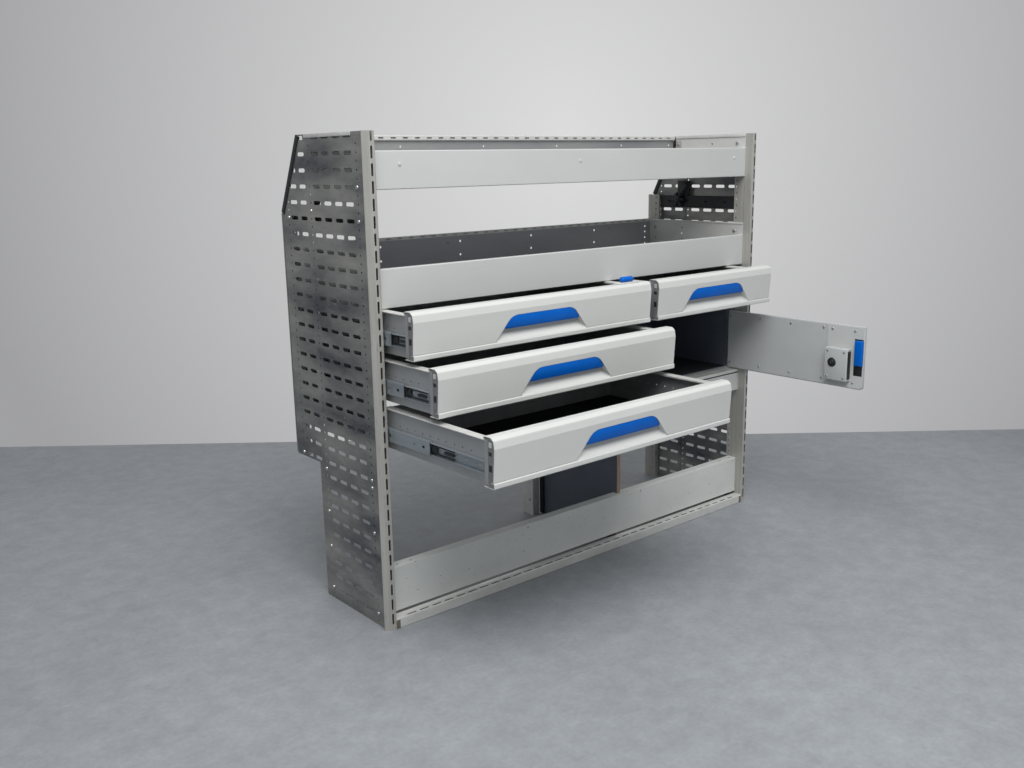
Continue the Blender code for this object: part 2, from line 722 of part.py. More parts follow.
def handle_flap(name, holder):
    """Flap that hangs from its top edge in the handle opening, drawn around its pivot."""
    slope = (SCOOP_BASE_HALF - SCOOP_TOP_HALF) / (SCOOP_TOP - SCOOP_BASE)
    top = FLAP_PIVOT_DROP
    top_half = SCOOP_TOP_HALF - FLAP_GAP
    base_half = top_half + FLAP_HEIGHT * slope
    outline = [(-base_half, top - FLAP_HEIGHT), (base_half, top - FLAP_HEIGHT), (top_half, top), (-top_half, top)]
    shape = prism(outline, -FLAP_THICKNESS / 2, FLAP_THICKNESS / 2, "Y")
    lean_share = (SCOOP_TOP - FRONT_LIP_HEIGHT) / (FRONT_FOLD_HEIGHT - FRONT_LIP_HEIGHT)
    depth = FRONT_LEAN * (1 - lean_share) + FRONT_WALL
    pivot = (0, depth, SCOOP_TOP - FLAP_GAP - FLAP_PIVOT_DROP)
    flap = add_part(name + "_handle_flap", shape, "blue_plastic", pivot, holder)
    flap.rotation_euler = (radians(FLAP_TILT_DEGREES), 0, 0)


def member_outline(face, tip, height, wall, side):
    """Half of a tray's outline where the drawer slide member stands out of its wall."""
    low = SLIDE_CENTRE - height / 2
    high = SLIDE_CENTRE + height / 2
    return [
        (side * face, low),
        (side * tip, low),
        (side * tip, low + wall),
        (side * (face + wall), low + wall),
        (side * (face + wall), high - wall),
        (side * tip, high - wall),
        (side * tip, high),
        (side * face, high),
    ]


def middle_height():
    return SLIDE_HEIGHT - 2 * (SLIDE_CABINET_WALL + CLEARANCE)


def inner_height():
    return middle_height() - 2 * (SLIDE_MIDDLE_WALL + CLEARANCE)


def drawer_tray(name, half, holder):
    """Open tray with rolled rims and its own slide members, with a cavity cut from above."""
    tip = half + SLIDE_DEPTH - SLIDE_MIDDLE_WALL - 2 * CLEARANCE
    rim_low = TRAY_TOP - TRAY_WALL
    right = member_outline(half, tip, inner_height(), SLIDE_CABINET_WALL, 1)
    left = member_outline(half, tip, inner_height(), SLIDE_CABINET_WALL, -1)
    outline = [(-half, TRAY_BASE), (half, TRAY_BASE)] + right
    outline += [(half, rim_low), (half + TRAY_RIM_OUTWARD, rim_low), (half + TRAY_RIM_OUTWARD, TRAY_TOP)]
    outline += [(-half - TRAY_RIM_OUTWARD, TRAY_TOP), (-half - TRAY_RIM_OUTWARD, rim_low), (-half, rim_low)]
    outline += left[::-1]
    start = FRONT_THICKNESS + CLEARANCE
    end = start + TRAY_LENGTH
    shape = prism(outline, start, end, "Y")
    tray = add_part(name + "_tray", shape, "galvanised_steel", parent=holder)
    inside = half - TRAY_WALL
    mouth = half - TRAY_RIM_INWARD
    floor = TRAY_BASE + TRAY_WALL
    cavity = [(-inside, floor), (inside, floor), (inside, rim_low), (mouth, rim_low)]
    cavity += [(mouth, TRAY_TOP + OVERRUN), (-mouth, TRAY_TOP + OVERRUN), (-mouth, rim_low), (-inside, rim_low)]
    cut(tray, prism(cavity, start + TRAY_WALL, end - TRAY_WALL, "Y"), "cavity")


def drawer_mat(name, half, holder):
    floor = TRAY_BASE + TRAY_WALL + CLEARANCE
    x = half - TRAY_WALL - MAT_GAP
    start = FRONT_THICKNESS + CLEARANCE + TRAY_WALL + MAT_GAP
    end = FRONT_THICKNESS + CLEARANCE + TRAY_LENGTH - TRAY_WALL - MAT_GAP
    shape = block((-x, start, floor), (x, end, floor + MAT_THICKNESS))
    add_part(name + "_mat", shape, "rubber_mat", parent=holder)


def middle_slides(name):
    """The two middle slide members, half as far out as their drawer."""
    column, level, opening = DRAWERS[name]
    span, width, _ = COLUMNS[column]
    half = middle_height() / 2
    centre = front_base(level) + SLIDE_CENTRE
    y = FRONT + MOUNT_FRONT - opening / 2
    for end, wall, inward in (("left", span, 1), ("right", span + width, -1)):
        web = at_span(wall) + inward * (COLUMN_WALL + CLEARANCE)
        tip = at_span(wall) + inward * (COLUMN_WALL + SLIDE_DEPTH - SLIDE_TIP_GAP)
        path = [(tip, centre - half), (web, centre - half), (web, centre + half), (tip, centre + half)]
        outline = folded(path, -inward * SLIDE_MIDDLE_WALL)
        shape = prism(outline, 0, SLIDE_LENGTH, "Y")
        add_part(name + "_slide_middle_" + end, shape, "zinc_steel", (0, y, 0))


def drawer(name):
    width = COLUMNS[DRAWERS[name][0]][1]
    holder = drawer_empty(name)
    drawer_front(name, width / 2 - FRONT_SIDE_GAP, holder)
    handle_flap(name, holder)
    drawer_tray(name, width / 2 - TRAY_INSET, holder)
    drawer_mat(name, width / 2 - TRAY_INSET, holder)
    middle_slides(name)


def hinge_pin_and_leaf():
    """Fixed hinge leaf with its barrel, drawn in plan around the hinge axis."""
    half = HINGE_LEAF / 2
    first = radians(60)
    turn = 2 * pi - 2 * (pi / 2 - first)
    barrel = []
    for step in range(HINGE_SIDES + 1):
        angle = first - turn * step / HINGE_SIDES
        barrel.append((HINGE_RADIUS * cos(angle), HINGE_RADIUS * sin(angle)))
    outline = [(half, HINGE_LEAF_DEPTH)] + barrel + [(-half, HINGE_LEAF_DEPTH)]
    x, y = hinge_axis()
    shape = prism(outline, 0, DOOR_HEIGHT, "Z")
    add_part("door_hinge", shape, "zinc_steel", (x, y, DOOR_BASE))


def door():
    """Door that stands open at a right angle, with its lock box, lock and latch."""
    x, y = hinge_axis()
    holder = bpy.data.objects.new("door_place", None)
    holder.location = (x, y, 0)
    parts.objects.link(holder)
    free_edge = -HINGE_GAP - DOOR_LENGTH
    top = DOOR_BASE + DOOR_HEIGHT
    shape = block((-DOOR_THICKNESS, free_edge, DOOR_BASE), (0, -HINGE_GAP, top))
    panel = add_part("door_panel", shape, "grey_enamel", parent=holder)
    hollow_near = (DOOR_WALL - DOOR_THICKNESS, free_edge + DOOR_WALL, DOOR_BASE + DOOR_WALL)
    hollow_far = (-DOOR_WALL, OVERRUN - HINGE_GAP, top - DOOR_WALL)
    cut(panel, block(hollow_near, hollow_far), "hollow")
    back = -DOOR_THICKNESS - CLEARANCE
    near = (back - LOCK_BOX_THICKNESS, -LOCK_BOX_START - LOCK_BOX_LENGTH, LOCK_BOX_BASE)
    far = (back, -LOCK_BOX_START, LOCK_BOX_BASE + LOCK_BOX_HEIGHT)
    case = add_part("lock_box", block(near, far), "grey_enamel", parent=holder)
    room_near = [value + DOOR_WALL for value in near]
    room_far = (far[0] + OVERRUN, far[1] - DOOR_WALL, far[2] - DOOR_WALL)
    cut(case, block(room_near, room_far), "room")
    lock = bmesh.new()
    turn = Matrix.Rotation(pi / 2, 4, "Y")
    bmesh.ops.create_cone(
        lock,
        cap_ends=True,
        segments=LOCK_SIDES,
        radius1=LOCK_RADIUS,
        radius2=LOCK_RADIUS,
        depth=LOCK_LENGTH,
        matrix=turn,
    )
    lock_x = near[0] - CLEARANCE - LOCK_LENGTH / 2
    lock_y = -LOCK_BOX_START - LOCK_REACH_SHARE * LOCK_BOX_LENGTH
    lock_z = LOCK_BOX_BASE + LOCK_HEIGHT_SHARE * LOCK_BOX_HEIGHT
    add_part("lock_cylinder", lock, "black_plastic", (lock_x, lock_y, lock_z), holder)
    latch = block((back - LATCH_THICKNESS, 0, 0), (back, LATCH_LENGTH, LATCH_HEIGHT))
    add_part("door_latch", latch, "blue_plastic", (0, free_edge, LATCH_BASE), holder)


clear_scene()
parts = new_collection("van_racking_system")
cutters = new_collection("cutting_shapes")
materials = {name: make_material(name) for name in MATERIALS}

for frame_side in SIDES:
    front_post(frame_side)
    side_panels(frame_side)
    rear_upright(frame_side)
    edge_trim(frame_side)
    side_band(frame_side)
    top_side(frame_side)
    second_side(frame_side)
mid_upright()
bottom_rail()
bottom_fascia()
mid_divider()
cross_rail()
tier_fascia("top_fascia", TOP_TIER_BASE, TOP_FASCIA_HEIGHT, "light_enamel")
top_shelf_pan()
tier_fascia("second_fascia", SECOND_TIER_BASE, SECOND_FASCIA_HEIGHT, "light_enamel")
second_shelf_pan()
second_rear_panel()
compartment_box()
hinge_pin_and_leaf()
door()
for column_name in COLUMNS:
    for column_end in SIDES:
        mount_plate(column_name, column_end)
for drawer_name in DRAWERS:
    drawer(drawer_name)
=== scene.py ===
"""Looks of a van racking system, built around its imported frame.

Lengths are metres and +Z is up. +X runs from the left end frame to the right one and the front
looks along -Y. An inset is measured inwards from the outer face of an end frame, a depth
backwards from the plane of the posts' front faces, and a span along X from the left end.
"""

import logging
from collections.abc import Sequence
from dataclasses import dataclass, field
from enum import Enum
from math import cos, pi, radians, sin, tan

import bmesh
import bpy
from mathutils import Matrix, Vector
from mathutils.geometry import delaunay_2d_cdt


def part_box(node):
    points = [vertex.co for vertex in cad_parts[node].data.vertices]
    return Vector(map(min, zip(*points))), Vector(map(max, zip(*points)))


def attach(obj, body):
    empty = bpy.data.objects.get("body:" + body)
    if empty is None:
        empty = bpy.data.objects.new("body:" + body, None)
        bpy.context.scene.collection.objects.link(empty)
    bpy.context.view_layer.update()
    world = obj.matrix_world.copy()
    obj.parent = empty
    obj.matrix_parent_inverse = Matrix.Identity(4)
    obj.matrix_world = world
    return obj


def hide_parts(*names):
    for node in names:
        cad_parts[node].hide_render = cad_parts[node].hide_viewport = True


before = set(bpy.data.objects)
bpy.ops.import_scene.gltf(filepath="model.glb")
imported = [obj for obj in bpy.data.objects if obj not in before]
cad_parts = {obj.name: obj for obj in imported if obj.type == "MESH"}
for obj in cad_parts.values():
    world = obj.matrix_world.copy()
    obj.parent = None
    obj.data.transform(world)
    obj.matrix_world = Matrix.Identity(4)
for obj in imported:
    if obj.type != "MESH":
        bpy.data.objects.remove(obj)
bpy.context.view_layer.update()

LOG = logging.getLogger("van_racking")
MM = 0.001
# Inset of the side panels' outer faces
PANEL_INSET = 0.0126
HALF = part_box("right_side_panel")[1].x + PANEL_INSET
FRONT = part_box("left_front_post")[0].y
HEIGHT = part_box("left_front_post")[1].z
# Clearance between two sheets that lie on each other
GAP = 0.0003
SHEET = 0.0015
# Inner radius of the folds of the frame's heavier sections
FRAME_BEND = 0.0012
# The frame's punching: rows of slots, with a row of round holes on each and between
SLOT_PITCH = 0.0476
HOLE_PITCH = SLOT_PITCH / 2
BOTTOM_ROW = 0.0381
HOLE = 0.0075
SMALL_HOLE = 0.0066
# Least distance of a hole from the end of its sheet
END_MARGIN = 0.010
POST_WIDTH = 0.0367
# Depth of the hole line of the rear uprights
UPRIGHT_HOLES = 0.486
SMOOTH_ANGLE = 35.0
SHARP_EDGE = radians(60)
FORWARD = Vector((0, -1, 0))

Point = tuple[float, float]
Seat = tuple[Vector, Vector]
Shape = bmesh.types.BMesh


class Side(Enum):
    """The two ends of the racking, with the sign of their X."""

    LEFT = -1
    RIGHT = 1

    @property
    def word(self) -> str:
        """Name of the end as the frame's nodes have it."""
        return self.name.lower()

    def x(self, inset: float) -> float:
        """World X of an inset from this end's outer face."""
        return self.value * (HALF - inset)


class Along(Enum):
    """World axis along which a section is pushed; the section's own axes are the other two."""

    X = (Vector((0, 1, 0)), Vector((0, 0, 1)), Vector((1, 0, 0)))
    Y = (Vector((1, 0, 0)), Vector((0, 0, 1)), Vector((0, 1, 0)))
    Z = (Vector((1, 0, 0)), Vector((0, 1, 0)), Vector((0, 0, 1)))

    def point(self, first: float, second: float, level: float) -> Vector:
        """World point of a section's two coordinates at a level."""
        across, up, away = self.value
        return across * first + up * second + away * level


def linear_colour(code: str) -> tuple[float, float, float, float]:
    """Turns an sRGB hex colour into linear values.

    Args:
        code: Six hex digits after a #.

    Returns:
        Linear red, green, blue and an alpha of 1.
    """
    values = []
    for start in (1, 3, 5):
        share = int(code[start : start + 2], 16) / 255
        values.append(share / 12.92 if share <= 0.04045 else ((share + 0.055) / 1.055) ** 2.4)
    return (values[0], values[1], values[2], 1.0)


def add_node(
    tree: bpy.types.NodeTree, kind: str, inputs: dict | None = None, **settings: object
) -> bpy.types.Node:
    """Adds one node with its settings and links.

    Args:
        tree: Node tree that gets the node.
        kind: Type name of the node.
        inputs: Value or output socket for each input, by name or number.
        settings: Properties of the node.

    Returns:
        The new node.
    """
    node = tree.nodes.new(kind)
    for name, value in settings.items():
        setattr(node, name, value)
    for key, value in (inputs or {}).items():
        if isinstance(value, bpy.types.NodeSocket):
            tree.links.new(value, node.inputs[key])
        else:
            node.inputs[key].default_value = value
    return node


@dataclass(frozen=True)
class Finish:
    """A surface: its colour, how it shines, and the marks and grain that it carries.

    Sizes are millimetres on the real piece. The second colour is laid over the first in soft
    clouds, and the mark colour in small hard-edged spots or strokes.
    """

    name: str
    slot: str
    colour: str
    cloud_colour: str
    cloud_mm: float = 60.0
    cloud_share: float = 0.5
    stretch: tuple[float, float, float] = (1.0, 1.0, 1.0)
    mark_colour: str = "#3a3a38"
    mark_mm: float = 4.0
    mark_level: float = 0.74
    roughness: float = 0.45
    roughness_spread: float = 0.1
    metallic: float = 0.0
    shine: float = 0.5
    grain_mm: float = 1.5
    grain_depth_mm: float = 0.02

    def material(self) -> bpy.types.Material:
        """The finish as a material, made once.

        Returns:
            The material of this finish's name.
        """
        if self.name in bpy.data.materials:
            return bpy.data.materials[self.name]
        made = bpy.data.materials.new(self.name)
        made.use_nodes = True
        tree = made.node_tree
        shader = tree.nodes["Principled BSDF"]
        shader.inputs["Metallic"].default_value = self.metallic
        shader.inputs["Specular IOR Level"].default_value = self.shine
        self.paint(tree, shader)
        return made

    def paint(self, tree: bpy.types.NodeTree, shader: bpy.types.Node) -> None:
        """Lays the colours, the marks, the roughness and the grain.

        Args:
            tree: The material's node tree.
            shader: Its Principled BSDF.
        """
        place = add_node(tree, "ShaderNodeTexCoord").outputs["Object"]
        stretched = {"Vector": place, "Scale": self.stretch}
        drawn = add_node(tree, "ShaderNodeMapping", stretched).outputs["Vector"]
        noises = ((self.cloud_mm, 5.0, 0.6), (self.mark_mm, 2.0, 0.5), (self.grain_mm, 2.0, 0.5))
        cloud, speck, grain = (
            add_node(
                tree,
                "ShaderNodeTexNoise",
                {"Vector": drawn, "Scale": 1 / (size * MM), "Detail": detail, "Roughness": rough},
            ).outputs["Fac"]
            for size, detail, rough in noises
        )
        names = ("Value", "From Min", "From Max", "To Min", "To Max")
        matt, spread = self.roughness, self.roughness_spread / 2
        ranges = (
            (cloud, 0.3, 0.7, 0.0, self.cloud_share),
            (speck, self.mark_level, self.mark_level + 0.03, 0.0, 1.0),
            (cloud, 0.3, 0.7, matt - spread, matt + spread),
        )
        soft, marks, gloss = (
            add_node(tree, "ShaderNodeMapRange", dict(zip(names, values))).outputs["Result"]
            for values in ranges
        )
        colour = linear_colour(self.colour)
        for share, over in ((soft, self.cloud_colour), (marks, self.mark_colour)):
            layers = {0: share, 6: colour, 7: linear_colour(over)}
            colour = add_node(tree, "ShaderNodeMix", layers, data_type="RGBA").outputs[2]
        tree.links.new(colour, shader.inputs["Base Color"])
        tree.links.new(gloss, shader.inputs["Roughness"])
        rise = {"Height": grain, "Distance": self.grain_depth_mm * MM}
        bump = add_node(tree, "ShaderNodeBump", rise)
        tree.links.new(bump.outputs["Normal"], shader.inputs["Normal"])


# Hot-dip galvanised steel sheet with rolled streaks along Z and small grey stains; its broad dark
# bluish clouds are partly the zinc's dull spangle and partly a painted reflection of dark
# surroundings
GALVANISED_PANEL = Finish(
    "galvanised_panel_sheet", "galvanised_steel", "#a6a6a0", "#484a52", 170.0, 1.0,
    stretch=(1.0, 0.45, 1.3),
    mark_colour="#8d8c86", mark_mm=16.0, mark_level=0.7, roughness=0.4, roughness_spread=0.2,
    metallic=0.4,
)
# The same zinc coat on the posts, which catch the light on their folds
GALVANISED_POST = Finish(
    "galvanised_post_section", "galvanised_steel", "#bab9b4", "#a19f98", 40.0, 0.8,
    stretch=(3.0, 3.0, 0.15),
    mark_colour="#77766f", mark_mm=9.0, mark_level=0.7, roughness=0.4, metallic=0.35,
)
# Thin galvanised shelf steel with a dark, oily bloom
GALVANISED_SHELF = Finish(
    "galvanised_shelf_sheet", "galvanised_steel", "#a2a3a2", "#83858a", 120.0, 0.8, (0.3, 1.0, 1.0),
    mark_colour="#5b5b59", mark_mm=8.0, roughness=0.4, metallic=0.35,
)
# The zinc coat of the second tier's rear panel, dull and even
GALVANISED_REAR = Finish(
    "galvanised_rear_sheet", "galvanised_steel", "#acadb2", "#96979c", 150.0, 0.8, (0.3, 1.0, 1.0),
    mark_colour="#4a4a4a", mark_mm=8.0, mark_level=0.76, metallic=0.3,
)
# Galvanised sheet of the tiers' side plates and the middle upright, lighter than the other zinc
# finishes: painted light that brightens these faces where they stand in shade
GALVANISED_PLATE = Finish(
    "galvanised_tier_plate", "galvanised_steel", "#dededa", "#bfc0be", 90.0, 0.8, (1.0, 0.4, 1.0),
    mark_colour="#908f8a", mark_mm=8.0, roughness=0.4, metallic=0.25,
)
# Folded edges, rims and slotted strips in a lighter copy of the galvanised sheet: a painted
# highlight that brightens them where they catch the light or sit in shade
PAINTED_HIGHLIGHT_STRIP = Finish(
    "rubbed_galvanised_strip", "zinc_steel", "#dcdcd9", "#c4c3bf", 30.0, 0.7, (0.4, 1.0, 1.0),
    mark_colour="#8d8c86", mark_mm=6.0, roughness=0.35, metallic=0.3,
)
# Baked light grey enamel with a fine orange peel, nearly spotless
LIGHT_ENAMEL = Finish(
    "light_grey_enamel", "light_enamel", "#c3c5c3", "#babcba", 220.0, 0.7, (0.5, 1.0, 1.0),
    mark_colour="#9b9b98", mark_mm=3.0, mark_level=0.8, roughness=0.38, grain_mm=1.2,
)
# The lowest fascia's enamel, scuffed and chipped by feet and loads; its base is lighter than the
# other fascias' enamel, painted light on this fascia that the drawers shade
SCUFFED_ENAMEL_PAINTED_LIGHT = Finish(
    "scuffed_grey_enamel", "light_enamel", "#d2d4d1", "#c3c5c2", 140.0, 0.8, (0.6, 1.0, 1.0),
    mark_colour="#4a4845", mark_mm=5.0, mark_level=0.725, grain_mm=1.2,
)
# Moulded light grey plastic of the drawer fronts, silky and even
FRONT_PLASTIC = Finish(
    "light_grey_front_profile", "light_enamel", "#cccdca", "#c4c6c3", 260.0, 0.6, (0.5, 1.0, 1.0),
    mark_colour="#b2b2af", mark_mm=3.0, mark_level=0.82, roughness=0.34, roughness_spread=0.06,
    grain_mm=0.9, grain_depth_mm=0.01,
)
# The door's baked enamel, a shade darker than the fronts
DOOR_ENAMEL = Finish(
    "door_grey_enamel", "grey_enamel", "#babcbc", "#afb1b1", 150.0, 0.7,
    mark_colour="#8a8a88", mark_mm=3.0, mark_level=0.8, roughness=0.4, grain_mm=1.2,
)
# Zinc-plated and blue-passivated slide steel, drawn along Y
ZINC_SLIDE = Finish(
    "blue_passivated_zinc", "zinc_steel", "#b9c0c5", "#8d979f", 50.0, 0.8, (1.0, 0.15, 1.0),
    mark_colour="#6d757b", mark_mm=6.0, roughness=0.3, metallic=0.7,
)
# Galvanised drawer sheet, cleaner and smoother than the frame's
TRAY_STEEL = Finish(
    "galvanised_tray_sheet", "galvanised_steel", "#b0b2b3", "#969899", 80.0, 0.8, (1.0, 0.3, 1.0),
    mark_colour="#5e6061", mark_mm=6.0, mark_level=0.76, roughness=0.38, metallic=0.45,
)
# Bright zinc bolt heads and screws
BOLT_ZINC = Finish(
    "bright_zinc_fastener", "zinc_steel", "#c9cac8", "#a2a3a1", 6.0, 0.7,
    mark_mm=2.0, mark_level=0.78, roughness=0.28, metallic=0.8, grain_mm=0.6,
)
# Dark, slightly greyed moulded plastic with a fine spark-eroded grain
BLACK_PLASTIC = Finish(
    "black_moulded_abs", "black_plastic", "#1c1d20", "#26272a", 40.0, 0.6,
    mark_colour="#3b3c3f", mark_mm=3.0, mark_level=0.78, roughness=0.5, grain_mm=0.7,
)
# Mid grey moulded end caps of the drawer fronts
CAP_PLASTIC = Finish(
    "mid_grey_end_cap", "light_enamel", "#7b7c7e", "#66676a", 12.0, 0.7,
    mark_colour="#a6a7aa", mark_mm=3.0, mark_level=0.7, roughness=0.5, grain_mm=0.7,
)
# Blue moulded nylon of the flaps, latch and knob, whose low shine keeps its colour deep
BLUE_PLASTIC = Finish(
    "blue_moulded_nylon", "blue_plastic", "#0062c4", "#0059b4", 70.0, 0.6,
    mark_colour="#2f74c4", mark_mm=2.0, mark_level=0.83, roughness=0.36, roughness_spread=0.06,
    shine=0.18, grain_mm=0.6, grain_depth_mm=0.01,
)
# Dark painted compartment sheet
DARK_ENAMEL = Finish(
    "dark_box_enamel", "dark_enamel", "#5c6270", "#50555f", 120.0, 0.6,
    mark_colour="#70747c", mark_level=0.78, roughness=0.5,
)
# Plywood face with a hot-pressed dark phenolic film
FILM_FACE = Finish(
    "phenolic_film_face", "film_plywood", "#5a606c", "#4d535d", 60.0, 0.6,
    mark_colour="#565a61", mark_mm=3.0, mark_level=0.77, roughness=0.42, grain_mm=2.0,
    grain_depth_mm=0.03,
)
# Raw plywood edge, light brown, with its plies running upright
PLY_EDGE = Finish(
    "raw_birch_ply_edge", "film_plywood", "#a98f7a", "#8a705c", 3.0, 0.9, (1.0, 0.05, 0.05),
    mark_colour="#5f4a3b", mark_mm=3.0, mark_level=0.72, roughness=0.75, grain_mm=1.0,
    grain_depth_mm=0.05,
)
# Black ribbed rubber matting
RUBBER_MAT = Finish(
    "black_rubber_mat", "rubber_mat", "#15171c", "#1d1f25", 30.0, 0.6, (1.0, 0.08, 1.0),
    mark_colour="#2c2e33", mark_mm=3.0, mark_level=0.76, roughness=0.75, grain_mm=3.0,
    grain_depth_mm=0.3,
)
# Worn brownish plugs at the ends of the bottom rail
RAIL_PLUG = Finish(
    "worn_rail_plug", "zinc_steel", "#7b7263", "#5d564b", 10.0, 0.8,
    mark_colour="#35322d", mark_level=0.66, roughness=0.6, metallic=0.2,
)


def add_piece(
    name: str,
    shape: Shape,
    finish: Finish,
    body: str = "frame",
    stands_for: Sequence[str] = (),
) -> None:
    """Makes a finished piece from a shape and hangs it on its body.

    Args:
        name: Name of the piece.
        shape: Its closed shape, in world places; it is freed here.
        finish: Its surface.
        body: The body that it rides on.
        stands_for: Nodes of the frame that it replaces.
    """
    bmesh.ops.recalc_face_normals(shape, faces=shape.faces[:])
    if shape.calc_volume(signed=True) < 0:
        bmesh.ops.reverse_faces(shape, faces=shape.faces[:])
    mesh = bpy.data.meshes.new(name)
    shape.to_mesh(mesh)
    shape.free()
    mesh.materials.append(finish.material())
    mesh.shade_smooth()
    mesh.set_sharp_from_angle(angle=radians(SMOOTH_ANGLE))
    piece = bpy.data.objects.new(name, mesh)
    bpy.context.scene.collection.objects.link(piece)
    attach(piece, body)
    if stands_for:
        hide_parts(*stands_for)
    LOG.info("%s: %d faces, rides on %s", name, len(mesh.polygons), body)


def refinish(node: str, finish: Finish) -> None:
    """Gives a node of the frame, which stays as it is, a finish."""
    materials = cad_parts[node].data.materials
    materials.clear()
    materials.append(finish.material())


def joined(shapes: Sequence[Shape]) -> Shape:
    """One shape that holds several, which are freed.

    Args:
        shapes: The shapes to put together.

    Returns:
        The shape that holds them all.
    """
    whole = bmesh.new()
    for shape in shapes:
        carrier = bpy.data.meshes.new("carrier")
        shape.to_mesh(carrier)
        shape.free()
        whole.from_mesh(carrier)
        bpy.data.meshes.remove(carrier)
    return whole


def repeated(unit: Shape, places: Sequence[Matrix]) -> Shape:
    """Copies of one shape at several places; the unit is freed.

    Args:
        unit: The shape, drawn around its own origin.
        places: A matrix for each copy.

    Returns:
        One shape that holds all the copies.
    """
    stamp = bpy.data.meshes.new("stamp")
    unit.to_mesh(stamp)
    unit.free()
    whole = bmesh.new()
    for place in places:
        before = len(whole.verts)
        whole.from_mesh(stamp)
        whole.verts.ensure_lookup_table()
        bmesh.ops.transform(whole, matrix=place, verts=whole.verts[before:])
    bpy.data.meshes.remove(stamp)
    return whole


def facing(at: Vector, direction: Vector) -> Matrix:
    """Matrix that turns +Z to a direction and moves the origin to a point."""
    return Matrix.Translation(at) @ direction.to_track_quat("Z", "Y").to_matrix().to_4x4()


def soften(
    shape: Shape,
    edges: list[bmesh.types.BMEdge],
    radius: float,
    segments: int = 2,
) -> None:
    """Rounds some edges of a shape.

    Args:
        shape: The shape to change.
        edges: Its edges to round.
        radius: Width of the rounding.
        segments: Steps of the rounding.
    """
    bmesh.ops.bevel(
        shape, geom=edges, offset=radius, offset_type="OFFSET", segments=segments, profile=0.5,
        affect="EDGES", clamp_overlap=True, material=-1,
    )


def sharp_edges(shape: Shape) -> list[bmesh.types.BMEdge]:
    """The edges of a closed shape at which its faces meet steeply."""
    return [edge for edge in shape.edges if edge.calc_face_angle() > SHARP_EDGE]


def rounded_block(
    corner: Sequence[float], opposite: Sequence[float], radius: float, segments: int = 2
) -> Shape:
    """A block between two opposite corners with rounded edges.

    Args:
        corner: One corner.
        opposite: The corner furthest from it.
        radius: Radius of its edges.
        segments: Steps of each rounding.

    Returns:
        The shape.
    """
    low = Vector([min(pair) for pair in zip(corner, opposite)])
    high = Vector([max(pair) for pair in zip(corner, opposite)])
    shape = bmesh.new()
    size = Matrix.Diagonal((*(high - low), 1))
    bmesh.ops.create_cube(shape, size=1, matrix=Matrix.Translation((low + high) / 2) @ size)
    soften(shape, shape.edges[:], radius, segments)
    return shape


def pushed(outline: Sequence[Point], start: float, end: float, along: Along) -> Shape:
    """A flat outline pushed along an axis.

    Args:
        outline: Corners of the outline in the section plane.
        start: One end.
        end: The other end.
        along: The axis.

    Returns:
        The closed shape.
    """
    low, high = sorted((start, end))
    shape = bmesh.new()
    corners = [shape.verts.new(along.point(first, second, low)) for first, second in outline]
    rim = [shape.edges.new((corners[i - 1], corner)) for i, corner in enumerate(corners)]
    face = bmesh.ops.edgeloop_fill(shape, edges=rim)["faces"]
    grown = bmesh.ops.extrude_face_region(shape, geom=face)["geom"]
    moved = [item for item in grown if isinstance(item, bmesh.types.BMVert)]
    bmesh.ops.translate(shape, verts=moved, vec=along.point(0, 0, high - low))
    bmesh.ops.recalc_face_normals(shape, faces=shape.faces[:])
    return shape


def corner_arc(
    corner: Point, before: Point, after: Point, radius: float, steps: int = 5
) -> list[Point]:
    """Points of a rounded corner of an outline.

    Args:
        corner: The sharp corner.
        before: The corner before it.
        after: The corner after it.
        radius: Radius of the rounding.
        steps: Steps of the arc.

    Returns:
        The arc's points, from the side of before to the side of after.
    """
    tip, start, end = Vector(corner), Vector(before), Vector(after)
    back = (start - tip).normalized()
    on = (end - tip).normalized()
    half = back.angle(on) / 2
    reach = radius / tan(half)
    centre = tip + (back + on).normalized() * (radius / sin(half))
    first = tip + back * reach - centre
    turn = first.angle_signed(tip + on * reach - centre) * -1
    return [tuple(centre + Matrix.Rotation(turn * k / steps, 2) @ first) for k in range(steps + 1)]


def rows(first: float, pitch: float, low: float, high: float) -> list[float]:
    """Places at a pitch from a first one, between two limits."""
    places = (first + k * pitch for k in range(int((high - first) // pitch) + 1))
    return [place for place in places if place >= low]


@dataclass(frozen=True)
class Punch:
    """A slot or a round hole in a bent sheet; it is round if no length is given.

    across is measured along the section's path from the first corner of the run, and along is
    the place on the sheet's axis. width lies across and length along.
    """

    run: int
    across: float
    along: float
    width: float
    length: float = 0.0


